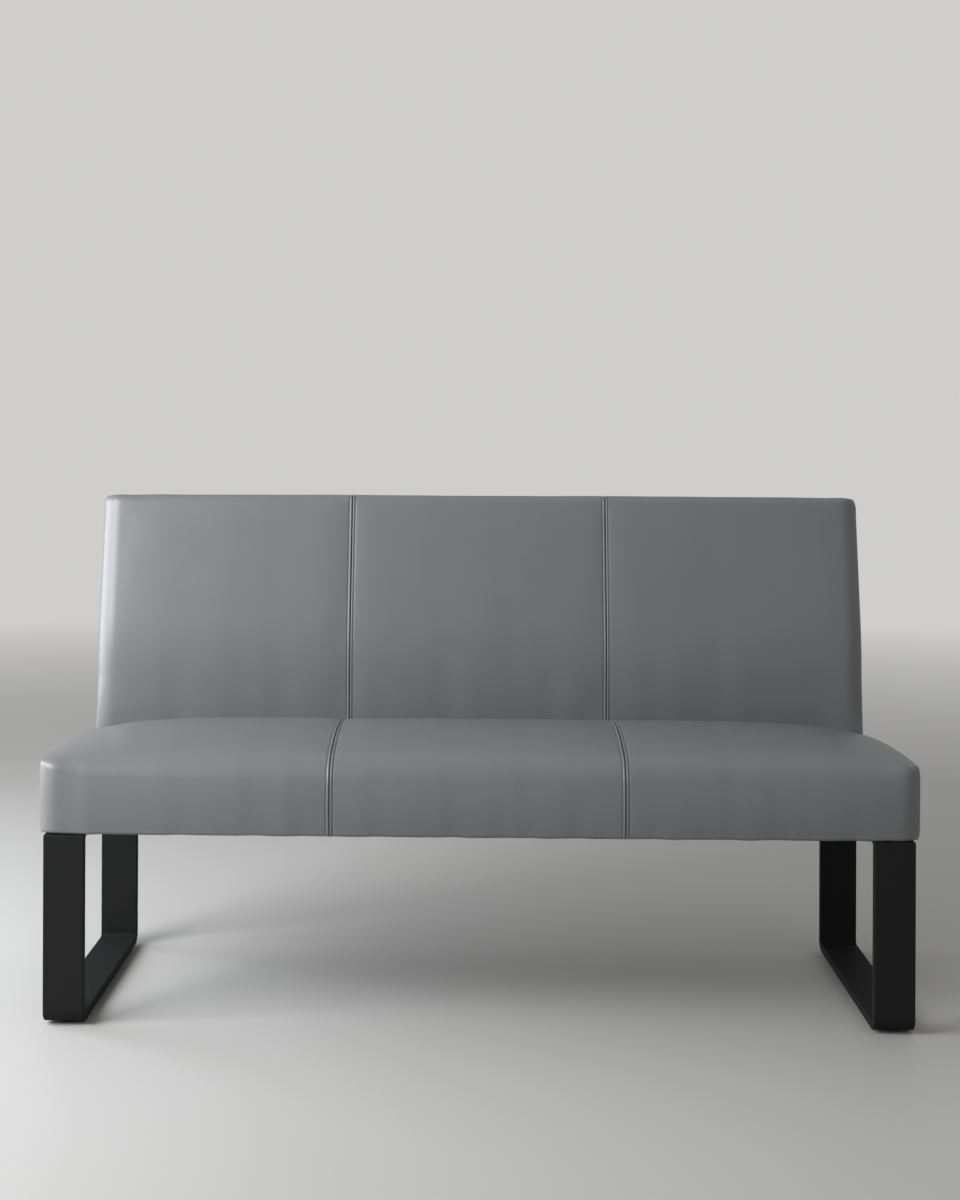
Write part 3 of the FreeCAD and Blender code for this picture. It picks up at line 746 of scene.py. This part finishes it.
def zinc():
    """Zinc-plated steel, faintly streaked and clouded."""
    made = Finish("zinc_plate")
    streak = made.noise(420.0, 2.0, place=made.stretched((1.0, 1.0, 0.08)))
    cloud = made.noise(60.0, 3.0)
    colour = made.blended(cloud, (0.5, 0.5, 0.47), (0.64, 0.63, 0.58))
    return made.shaded(
        colour, 0.28 + streak * 0.16 + cloud * 0.06, made.bumped(streak, 0.00012, 0.5), Metallic=1.0
    )


def black_plastic():
    made = Finish("black_nylon")
    grain = made.noise(1300.0, 2.0)
    scuff = made.noise(180.0, 3.0, place=made.stretched((1.0, 1.0, 0.2)))
    colour = made.blended(scuff, (0.011, 0.011, 0.0115), (0.02, 0.02, 0.021))
    return made.shaded(colour, 0.34 + grain * 0.12, made.bumped(grain, 0.00015, 0.6))


def sole_rubber():
    made = Finish("sole_rubber")
    grain = made.noise(900.0, 3.0)
    dust = made.noise(90.0, 3.0)
    colour = made.blended(dust, (0.015, 0.015, 0.015), (0.032, 0.031, 0.03))
    return made.shaded(colour, 0.7 + grain * 0.15, made.bumped(grain, 0.0003, 0.7))


def pine(name, along):
    """Planed pine with growth rings drawn out along the board, and a few darker knots."""
    made = Finish(name)
    factors = tuple(0.06 if letter == along else 1.0 for letter in "XYZ")
    place = made.stretched(factors)
    wander = made.noise(9.0, 3.0, place=place)
    rings = wander * 34.0 + made.noise(60.0, 2.0, place=place) * 2.0
    ring = (rings.sine() * 0.5 + 0.5).power(1.6)
    fibre = made.noise(700.0, 2.0, place=place)
    knot = (1.0 - made.cells(3.4) * 9.0).clipped()
    colour = made.blended(ring, (0.66, 0.49, 0.29), (0.5, 0.33, 0.17))
    colour = made.blended(fibre * 0.25, colour, (0.74, 0.58, 0.37))
    colour = made.blended(knot * 0.8, colour, (0.2, 0.1, 0.045))
    return made.shaded(colour, 0.62 + fibre * 0.18, made.bumped(fibre + ring * 0.4, 0.0003, 0.6))


def plywood():
    """Birch plywood: a pale rotary-cut face and thin plies in its edges."""
    made = Finish("birch_plywood")
    place = made.stretched((0.1, 1.0, 1.0))
    figure = made.noise(14.0, 3.0, place=place)
    fibre = made.noise(500.0, 2.0, place=place)
    ply = ((made.axis("Z") * 1600.0).sine() * 0.5 + 0.5).power(2.0)
    colour = made.blended(figure, (0.62, 0.48, 0.32), (0.72, 0.58, 0.41))
    colour = made.blended(ply * 0.35, colour, (0.42, 0.29, 0.17))
    return made.shaded(colour, 0.6 + fibre * 0.2, made.bumped(fibre, 0.0002, 0.6))


def hardboard():
    made = Finish("brown_hardboard")
    felt = made.noise(420.0, 4.0, 0.7)
    screen = made.cells(520.0)
    colour = made.blended(felt, (0.2, 0.115, 0.06), (0.34, 0.215, 0.12))
    return made.shaded(colour, 0.66 + felt * 0.2, made.bumped(felt + screen * 0.5, 0.0003, 0.7))


def lining():
    """Black non-woven lining cloth with its pressed dots."""
    made = Finish("black_lining")
    fibre = made.noise(900.0, 3.0, 0.7)
    dots = (made.axis("X") * 2100.0).sine() * (made.axis("Y") * 2100.0).sine()
    colour = made.blended(fibre, (0.011, 0.011, 0.012), (0.026, 0.026, 0.028))
    return made.shaded(colour, 0.86 + fibre * 0.1, made.bumped(fibre + dots * 0.6, 0.0003, 0.8))


def open_foam():
    """Cut polyurethane foam with its open cells, with painted shade in each cell's hollow."""
    made = Finish("cream_foam")
    cell = made.cells(520.0)
    tint = made.noise(5.0, 3.0)
    colour = made.blended(tint, (0.78, 0.74, 0.6), (0.83, 0.8, 0.68))
    # Painted shade: darker towards the middle of each cell, where the bump sinks it into a hollow.
    colour = made.blended(cell * 0.6, (0.6, 0.55, 0.42), colour)
    return made.shaded(colour, 0.92, made.bumped(cell, 0.0008, 0.8))


def staple_wire():
    made = Finish("staple_wire")
    wear = made.noise(800.0, 2.0)
    colour = made.blended(wear, (0.42, 0.42, 0.41), (0.6, 0.6, 0.58))
    return made.shaded(colour, 0.3 + wear * 0.15, made.bumped(wear, 0.0001), Metallic=1.0)


SEWN_LEATHER = grey_leather("grey_leather_sewn", True)
PLAIN_LEATHER = grey_leather("grey_leather_plain", False)
THREAD = thread()
POWDER_COAT = powder_coat()
ZINC = zinc()
NYLON = black_plastic()
RUBBER = sole_rubber()
PINE = {letter: pine("pine_along_" + letter.lower(), letter) for letter in "XYZ"}
PLYWOOD = plywood()
HARDBOARD = hardboard()
LINING_CLOTH = lining()
FOAM = open_foam()
STAPLE_WIRE = staple_wire()


# Repeated pieces along a path

STAPLE_PITCH = 48.0
STAPLE_WIDTH = 11.0
STAPLE_THICKNESS = 0.7
STAPLE_SINK = 0.15
STAPLE_INSET = 9.0
STAPLE_END_GAP = 24.0
STAPLE_SKEW = 0.16


class Recipe(NodeTree):
    """A Geometry Nodes tree that lays pieces along paths, with its sizes as named inputs."""

    def __init__(self, name, sizes):
        super().__init__(bpy.data.node_groups.new(name, "GeometryNodeTree"))
        sockets = self.tree.interface
        shape = "NodeSocketGeometry"
        sockets.new_socket("Path", in_out="INPUT", socket_type=shape)
        sockets.new_socket("Result", in_out="OUTPUT", socket_type=shape)
        self.identifiers = {}
        for key, value in sizes.items():
            kind = "NodeSocketInt" if isinstance(value, int) else "NodeSocketFloat"
            socket = sockets.new_socket(key, in_out="INPUT", socket_type=kind)
            self.identifiers[key] = socket.identifier
        self.given = self.add("NodeGroupInput").outputs

    def spaced(self, axis):
        """Points at an even pitch along the path, and the turn that sets an axis along it."""
        path = self.add("GeometryNodeMeshToCurve", Mesh=self.given["Path"])
        points = self.add(
            "GeometryNodeResampleCurve", {"mode": "LENGTH"}, Curve=path.outputs[0],
            Length=self.given["Pitch"],
        )
        tangent = self.add("GeometryNodeInputTangent").outputs[0]
        turned = self.add("FunctionNodeAlignRotationToVector", {"axis": axis}, Vector=tangent)
        return points.outputs[0], turned.outputs[0]

    def drawn(self, low, high):
        """A number for each piece, drawn evenly between two limits."""
        made = self.add("FunctionNodeRandomValue", {"data_type": "FLOAT"}, Seed=self.given["Seed"])
        self.join(made.inputs[2], low)
        self.join(made.inputs[3], high)
        return made.outputs[1]

    def finish(self, material, **laid):
        """Lay a piece on each point and join them into one geometry of one material."""
        rows = self.add("GeometryNodeInstanceOnPoints", **laid).outputs[0]
        real = self.add("GeometryNodeRealizeInstances", Geometry=rows).outputs[0]
        clad = self.add("GeometryNodeSetMaterial", Geometry=real, Material=material).outputs[0]
        self.add("NodeGroupOutput", None, clad)


def stitch_recipe():
    """Short thread lozenges set at an even pitch along each path."""
    recipe = Recipe("stitch_rows", {"Pitch": 0.0, "Length": 0.0, "Thickness": 0.0, "Seed": 1})
    length, thickness = recipe.given["Length"], recipe.given["Thickness"]
    points, turned = recipe.spaced("Z")
    lozenge = recipe.add("GeometryNodeMeshUVSphere", Segments=8, Rings=5, Radius=0.5)
    size = recipe.add("ShaderNodeCombineXYZ", None, thickness, thickness, length).outputs[0]
    share = recipe.drawn(*STITCH_SHARES)
    varied = recipe.add("ShaderNodeVectorMath", {"operation": "SCALE"}, size, Scale=share)
    recipe.finish(
        THREAD, Points=points, Instance=lozenge.outputs[0], Rotation=turned, Scale=varied.outputs[0]
    )
    return recipe


def staple_recipe():
    """Flat wire staples laid at an even pitch along each path, each a little askew."""
    recipe = Recipe("staple_rows", {"Pitch": 0.0, "Width": 0.0, "Wire": 0.0, "Seed": 2})
    width, wire = recipe.given["Width"], recipe.given["Wire"]
    points, turned = recipe.spaced("X")
    skew = recipe.add("ShaderNodeCombineXYZ", Z=recipe.drawn(-STAPLE_SKEW, STAPLE_SKEW)).outputs[0]
    turn = recipe.add("FunctionNodeRotateRotation", None, turned, skew).outputs[0]
    size = recipe.add("ShaderNodeCombineXYZ", None, width, wire, wire).outputs[0]
    bar = recipe.add("GeometryNodeMeshCube", Size=size, Vertices_X=6).outputs[0]
    recipe.finish(STAPLE_WIRE, Points=points, Instance=bar, Rotation=turn)
    return recipe


def laid_along(name, paths, recipe, sizes, finish):
    """The recipe's pieces along some polylines, in millimetres, as one plain mesh."""
    vertices = []
    edges = []
    for path in paths:
        first = len(vertices)
        vertices += [tuple(point * MM) for point in path]
        edges += [(first + k, first + k + 1) for k in range(len(path) - 1)]
    rail = bpy.data.meshes.new(name + "_path")
    rail.from_pydata(vertices, edges, [])
    carrier = bpy.data.objects.new(name + "_path", rail)
    bpy.context.scene.collection.objects.link(carrier)
    modifier = carrier.modifiers.new("laid", "NODES")
    modifier.node_group = recipe.tree
    for key, value in sizes.items():
        modifier[recipe.identifiers[key]] = value
    graph = bpy.context.evaluated_depsgraph_get()
    mesh = bpy.data.meshes.new_from_object(carrier.evaluated_get(graph))
    mesh.name = name
    carrier.modifiers.remove(modifier)
    bpy.data.objects.remove(carrier)
    for polygon in mesh.polygons:
        polygon.use_smooth = True
    return piece(name, mesh, finish)


# Seat and backrest covers

PANELS = (
    ("left", -SEAM_END_X, -PANEL_SEAM_X),
    ("middle", -PANEL_SEAM_X, PANEL_SEAM_X),
    ("right", PANEL_SEAM_X, SEAM_END_X),
)
# A place inside each cushion, the stops between which its cover is free, and those of its stitches
SEAT_INSIDE = (0.0, 0.0, 400.0)
BACK_INSIDE = (0.0, 215.0, 640.0)
SEAT_FREE_STOPS = (2.0, 5.2)
BACK_FREE_STOPS = (0.5, 5.5)
SEAT_STITCH_STOPS = (1.2, 6.3)
BACK_STITCH_STOPS = (0.3, 5.8)

seat_swell = swelling(seat_course, SEAT_FREE_STOPS, SEAT_INSIDE)
back_swell = swelling(back_course, BACK_FREE_STOPS, BACK_INSIDE)


def line_on_leather(course_at, swell, x, inside, lift):
    """A line over the leather at some place along the bench, lifted off it, and its stops."""
    near = [x - 1.0, x, x + 1.0]
    points, normals, stops = upholstered(course_at, swell, near, inside)
    return points[1] + normals[1] * lift, stops


def row_length(line):
    return np.cumsum(np.r_[0, np.linalg.norm(np.diff(line, axis=0), axis=1)])


def sewn_cover(prefix, course_at, swell, inside):
    """A cushion's panels, mapped by the distance from the seam and the count of stitches."""
    for side, first, last in PANELS:
        columns = panel_columns(first, last)
        outer, normals, stops = upholstered(course_at, swell, columns, inside)
        maps = np.zeros((*outer.shape[:2], 2))
        for c, x in enumerate(columns):
            seam = math.copysign(PANEL_SEAM_X, x)
            beside = seam + math.copysign(STITCH_OFFSET, x - seam)
            length = row_length(line_on_leather(course_at, swell, beside, inside, 0.0)[0])
            maps[c, :, 0] = abs(abs(x) - PANEL_SEAM_X)
            maps[c, :, 1] = length / length[-1] * round(length[-1] / STITCH_PITCH)
        inner = outer - normals * LEATHER
        mesh = walled(prefix + side, outer, inner, maps)
        cover = piece(prefix + side + "_leather", mesh, SEWN_LEATHER)
        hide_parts(prefix + side)


sewn_cover("seat_cover_", seat_course, seat_swell, SEAT_INSIDE)
sewn_cover("back_cover_", back_course, back_swell, BACK_INSIDE)

# Rear cover, taut over its board and sunk a little into its top seam
END_COLUMNS = [*END_STEPS, 38.0, 52.0]
EVEN_FROM = 66.0
EVEN_COLUMNS = 60
TOP_SINK_STOPS = (0.0, 0.012, 0.04)
TOP_SINK = (-2.0, -0.4, 0.0)
rear_columns = [-SEAM_END_X + s for s in END_COLUMNS]
rear_columns += list(np.linspace(-SEAM_END_X + EVEN_FROM, SEAM_END_X - EVEN_FROM, EVEN_COLUMNS))
rear_columns += [SEAM_END_X - s for s in END_COLUMNS[::-1]]
rear_points, rear_stops = surface(rear_course, rear_columns)
rear_normals = outward_normals(rear_points, BACK_INSIDE)
rear_rise = np.array([end_relief(x) for x in rear_columns])
top_rise = np.interp(rear_stops, TOP_SINK_STOPS, TOP_SINK)
rear_outer = rear_points + rear_normals * (rear_rise[:, None] + top_rise[None])[..., None]
rear_leather = piece(
    "rear_cover_leather",
    walled("rear_cover", rear_outer, rear_outer - rear_normals * LEATHER),
    PLAIN_LEATHER,
)
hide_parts("rear_cover")


# End panels: pillowed between the edge seam and their middle line
PILLOW_SHARES = (1.0, 0.985, 0.96, 0.93, 0.89, 0.84, 0.78, 0.71, 0.63, 0.54, 0.44, 0.3, 0.15)
PILLOW_START = 0.8
PANEL_LAP = 9.0
TUCK_SHARE = 0.96
SPLIT_HEIGHT = 385.0
FOLD_END = 4.0
FOOT_RISE = 2.0
ROWS_BEHIND_SPLIT = 14
END_PATH_POINTS = 150
# From the ends of a panel to its middle line, and from its seam to where the pillow is flat
SEAT_SPINE_END = 58.0
SEAT_SWELL_REACH = 34.0
BACK_SPINE_END = 34.0
BACK_SWELL_REACH = 20.0


def read_off(path, length, steps):
    """A polyline's points at some lengths along it."""
    return np.array([np.interp(steps, length, path[:, k]) for k in range(path.shape[1])]).T


def spread(path):
    """A polyline laid out again in even steps."""
    length = row_length(path)
    return read_off(path, length, np.linspace(0, length[-1], END_PATH_POINTS))


def end_panel(node, upper, lower, spine_end, swell_reach, sign):
    """A pillow between two side-view paths that start and end at the same points."""
    count = len(upper)
    middles = (upper + lower) / 2
    length = row_length(middles)
    spine = read_off(middles, length, np.clip(length, spine_end, length[-1] - spine_end))
    across = [(lower, s) for s in (*PILLOW_SHARES, 0.0)]
    across += [(upper, s) for s in PILLOW_SHARES[::-1]]
    outer = np.zeros((count, len(across), 3))
    inner = np.zeros_like(outer)
    seam_level = math.sqrt(1.0 - PILLOW_START ** 2)
    for w, (edge, share) in enumerate(across):
        flat = spine + (edge - spine) * share
        depth = np.linalg.norm(edge - flat, axis=1)
        bend = PILLOW_START * np.clip(1.0 - depth / swell_reach, 0.0, 1.0)
        rise = PANEL_CROWN * (np.sqrt(1.0 - bend ** 2) - seam_level) / (1.0 - seam_level)
        outer[:, w] = np.c_[sign * (SEAM_END_X + rise), flat]
        tucked = spine + (edge - spine) * min(share, TUCK_SHARE)
        inner[:, w] = np.c_[np.full(count, sign * (SEAM_END_X - PANEL_LAP)), tucked]
    mesh = walled(node, outer, inner, rims=("columns",))
    made = piece(node + "_leather", mesh, PLAIN_LEATHER)
    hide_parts(node)


def seat_end_paths():
    """Over the top and round the bottom of the seat's end, from its front to its rear."""
    rows = np.array(seat_course(SEAM_END_X).rows)[SEAT_ROWS[0]:]
    crest = sum(SEAT_ROWS[1:4])
    front = int(np.argmin(np.abs(rows[:crest, 1] - SPLIT_HEIGHT)))
    rear_split = np.array([[SEAT_REAR, SPLIT_HEIGHT]])
    top = np.vstack([rows[front:-SEAT_ROWS[-1]], rear_split])
    under = np.array([[SEAT_REAR - FOLD_END, COVER_BOTTOM], [SEAT_REAR, COVER_BOTTOM + FOLD_END]])
    bottom = np.vstack([rows[: front + 1][::-1], under, rear_split])
    return spread(top), spread(bottom)


def back_end_paths():
    """Up the front and up the rear of the backrest's end, from its foot to its top."""
    front = np.array(back_course(SEAM_END_X).rows)
    rear = np.array(rear_course(SEAM_END_X).rows)[:-REAR_ROWS[-1]]
    foot = np.array([[front[0][0], COVER_BOTTOM + FOOT_RISE]])
    under = np.array([[(foot[0][0] + rear[-1][0]) / 2, COVER_BOTTOM]])
    split = len(front) - ROWS_BEHIND_SPLIT
    upper = np.vstack([under, foot, front[:split]])
    lower = np.vstack([under, rear[::-1], front[split - 1:][::-1]])
    return spread(upper), spread(lower)


for side, sign in (("left", -1), ("right", 1)):
    upper, lower = seat_end_paths()
    end_panel("seat_side_panel_" + side, upper, lower, SEAT_SPINE_END, SEAT_SWELL_REACH, sign)
    upper, lower = back_end_paths()
    end_panel("back_side_panel_" + side, upper, lower, BACK_SPINE_END, BACK_SWELL_REACH, sign)


# Padding under the leather: foam, drawn in to clear the sewn seams

FOAM_MERGED = 1e-5
FOAM_SINK = 3.4
FOAM_EDGE_ROUND = 0.8
FOAM_EDGE_ANGLE = 50
SEAT_FOAM_TOP = 398.0
SEAT_FOAM_FRONT = 14.0
SEAT_FOAM_END = 731.0


def padding(node, covered):
    """A node's foam, drawn in where it lies under the cover, with its cut edges rounded."""
    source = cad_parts[node]
    shaped = bmesh.new()
    shaped.from_mesh(source.data)
    bmesh.ops.remove_doubles(shaped, verts=shaped.verts, dist=FOAM_MERGED)
    bmesh.ops.recalc_face_normals(shaped, faces=shaped.faces)
    moves = [(v, v.normal.copy()) for v in shaped.verts if covered(v.co / MM)]
    for vertex, normal in moves:
        vertex.co -= normal * FOAM_SINK * MM
    mesh = bpy.data.meshes.new(node + "_padding")
    shaped.to_mesh(mesh)
    shaped.free()
    made = piece(node + "_padding", mesh, FOAM)
    softened = made.modifiers.new("cut_edges", "BEVEL")
    softened.width = FOAM_EDGE_ROUND * MM
    softened.segments = 2
    softened.limit_method = "ANGLE"
    softened.angle_limit = math.radians(FOAM_EDGE_ANGLE)
    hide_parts(node)


def under_leather(place):
    """Whether a point of the seat's foam is on its top, front or ends, in millimetres."""
    return (
        place.z > SEAT_FOAM_TOP
        or place.y < SEAT_FRONT + SEAT_FOAM_FRONT
        or abs(place.x) > SEAT_FOAM_END
    )


padding("seat_foam", under_leather)
padding("back_foam", lambda place: True)

# Stitches, in two rows beside each sewn seam
stitches = stitch_recipe()
for cushion, course_at, swell, inside, stitch_stops in (
    ("seat", seat_course, seat_swell, SEAT_INSIDE, SEAT_STITCH_STOPS),
    ("back", back_course, back_swell, BACK_INSIDE, BACK_STITCH_STOPS),
):
    paths = []
    for seam in (-PANEL_SEAM_X, PANEL_SEAM_X):
        for offset in (-STITCH_OFFSET, STITCH_OFFSET):
            line, stops = line_on_leather(course_at, swell, seam + offset, inside, STITCH_LIFT)
            length = row_length(line)
            pitch = length[-1] / round(length[-1] / STITCH_PITCH)
            low, high = np.interp(stitch_stops, stops, length)
            low = (math.ceil(low / pitch) + 0.5) * pitch
            high = (math.floor(high / pitch) - 0.5) * pitch
            steps = np.linspace(low, high, round((high - low) / pitch) * STITCH_PATH_POINTS + 1)
            paths.append(read_off(line, length, steps))
    sizes = {
        "Pitch": pitch * MM,
        "Length": STITCH_LENGTH * MM,
        "Thickness": STITCH_THICKNESS * MM,
        "Seed": 1,
    }
    rows = laid_along(cushion + "_stitches", paths, stitches, sizes, THREAD)

# Staples that hold the lining under the bench
lining_low, lining_high = (np.array(v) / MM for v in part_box("dust_cover"))
(x_low, y_low), (x_high, y_high) = lining_low[:2] + STAPLE_INSET, lining_high[:2] - STAPLE_INSET
corners = np.array([(x_low, y_low), (x_high, y_low), (x_high, y_high), (x_low, y_high)])
staple_paths = []
for start, end in zip(corners, np.roll(corners, -1, axis=0)):
    shift = (end - start) / np.linalg.norm(end - start) * STAPLE_END_GAP
    ends = np.array([start + shift, end - shift])
    staple_paths.append(np.c_[ends, np.full(2, UNDERSIDE - STAPLE_SINK)])
sizes = {
    "Pitch": STAPLE_PITCH * MM,
    "Width": STAPLE_WIDTH * MM,
    "Wire": STAPLE_THICKNESS * MM,
    "Seed": 2,
}
staples = laid_along("lining_staples", staple_paths, staple_recipe(), sizes, STAPLE_WIRE)


# The frame's own pieces keep their drawn form and get their finish


def finish_of(node):
    if node in ("leg_left", "leg_right"):
        return POWDER_COAT
    if node.startswith("foot_screw"):
        return NYLON
    if node.startswith("foot_pad"):
        return RUBBER
    if node == "dust_cover":
        return LINING_CLOTH
    if node == "seat_deck":
        return PLYWOOD
    if "board" in node:
        return HARDBOARD
    if "post" in node:
        return PINE["Z"]
    if "end_rail" in node or "cross_rail" in node:
        return PINE["Y"]
    if "rail" in node or "block" in node:
        return PINE["X"]
    return ZINC


for node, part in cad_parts.items():
    part.data.materials.clear()
    part.data.materials.append(finish_of(node))


# Studio

FLOOR_RADIUS = 7.0
FLOOR_FADE_FROM = 2.2
FLOOR_FADE_OVER = 4.0
ROOM_LIGHT = 0.39
BACKGROUND = (0.62, 0.615, 0.6)
WHITE = (1.0, 1.0, 1.0)
# Each lamp's place, aim, size, power and colour
LAMPS = {
    "window_left": ((-2.2, -1.2, 1.6), (-0.3, 0.0, 0.5), (1.4, 1.5), 78.0, (0.96, 0.98, 1.0)),
    "window_side": ((-2.6, 0.3, 1.0), (-0.7, 0.1, 0.6), (1.4, 1.4), 48.0, (0.9, 0.955, 1.0)),
    "ceiling": ((-0.3, -0.2, 3.0), (0.0, 0.0, 0.4), (3.2, 3.0), 8.0, WHITE),
}

# The camera as it was fitted to the photograph: pixels, metres and radians
PHOTO_WIDTH = 960.0
PHOTO_HEIGHT = 1200.0
FOCAL_PIXELS = 1747.0
CENTRE_PIXEL = (442.0, 425.1)
SENSOR_WIDTH = 36.0
CAMERA_PLACE = (0.0005, -3.2557, 1.029)
CAMERA_YAW = 0.02134
CAMERA_ROLL = 0.004


def area_light(name, place, aim, size, power, colour):
    lamp = bpy.data.lights.new(name, "AREA")
    lamp.shape = "RECTANGLE"
    lamp.size, lamp.size_y = size
    lamp.energy = power
    lamp.color = colour
    holder = bpy.data.objects.new(name, lamp)
    holder.location = place
    holder.rotation_euler = (Vector(aim) - Vector(place)).to_track_quat("-Z", "Y").to_euler()
    bpy.context.scene.collection.objects.link(holder)


def floor_finish():
    """A pale matte floor that runs out into the background far from the bench."""
    made = Finish("pale_floor")
    cloud = made.noise(1.3, 3.0)
    fine = made.noise(160.0, 3.0)
    colour = made.blended(cloud * 0.6 + fine * 0.4, (0.46, 0.452, 0.438), (0.515, 0.506, 0.492))
    roughness = 0.5 + fine * 0.15
    matte = made.add("ShaderNodeBsdfPrincipled", Base_Color=colour, Roughness=roughness)
    clear = made.add("ShaderNodeBsdfTransparent")
    length = made.add("ShaderNodeVectorMath", {"operation": "LENGTH"}, made.place)
    far = Reading(made, length.outputs[1])
    run_out = ((far - FLOOR_FADE_FROM) / FLOOR_FADE_OVER).clipped()
    mixed = made.add("ShaderNodeMixShader", None, run_out, matte.outputs[0], clear.outputs[0])
    made.add("ShaderNodeOutputMaterial", None, mixed.outputs[0])
    return made.material


def pale_floor():
    sheet = bmesh.new()
    bmesh.ops.create_circle(sheet, cap_ends=True, segments=96, radius=FLOOR_RADIUS)
    mesh = bpy.data.meshes.new("pale_floor")
    sheet.to_mesh(mesh)
    sheet.free()
    floor = bpy.data.objects.new("pale_floor", mesh)
    bpy.context.scene.collection.objects.link(floor)
    mesh.materials.append(floor_finish())


def soft_room():
    """Even white light, with a pale grey background where the camera looks past the floor."""
    world = bpy.data.worlds.new("soft_room")
    world.use_nodes = True
    room = NodeTree(world.node_tree)
    lighting = room.add("ShaderNodeBackground", None, WHITE, ROOM_LIGHT).outputs[0]
    seen = room.add("ShaderNodeBackground", None, BACKGROUND, 1.0).outputs[0]
    rays = room.add("ShaderNodeLightPath").outputs
    seen_by = (rays["Is Camera Ray"], rays["Is Transmission Ray"])
    either = room.add("ShaderNodeMath", {"operation": "MAXIMUM"}, *seen_by).outputs[0]
    chosen = room.add("ShaderNodeMixShader", None, either, lighting, seen).outputs[0]
    room.add("ShaderNodeOutputWorld", None, chosen)
    bpy.context.scene.world = world


def camera():
    """The photograph's standpoint: level, above the backrest, and slightly turned and rolled."""
    lens = bpy.data.cameras.new("standpoint")
    lens.sensor_width = SENSOR_WIDTH
    lens.lens = FOCAL_PIXELS * SENSOR_WIDTH / PHOTO_HEIGHT
    lens.shift_x = (PHOTO_WIDTH / 2 - CENTRE_PIXEL[0]) / PHOTO_HEIGHT
    lens.shift_y = (CENTRE_PIXEL[1] - PHOTO_HEIGHT / 2) / PHOTO_HEIGHT
    holder = bpy.data.objects.new("standpoint", lens)
    upright = Matrix.Rotation(math.pi / 2, 3, "X")
    turned = Matrix.Rotation(CAMERA_YAW, 3, "Z") @ upright @ Matrix.Rotation(CAMERA_ROLL, 3, "Z")
    holder.matrix_world = Matrix.Translation(CAMERA_PLACE) @ turned.to_4x4()
    bpy.context.scene.collection.objects.link(holder)
    bpy.context.scene.camera = holder


pale_floor()
soft_room()
for name, lamp in LAMPS.items():
    area_light(name, *lamp)
camera()
bpy.context.scene.view_settings.view_transform = "Standard"
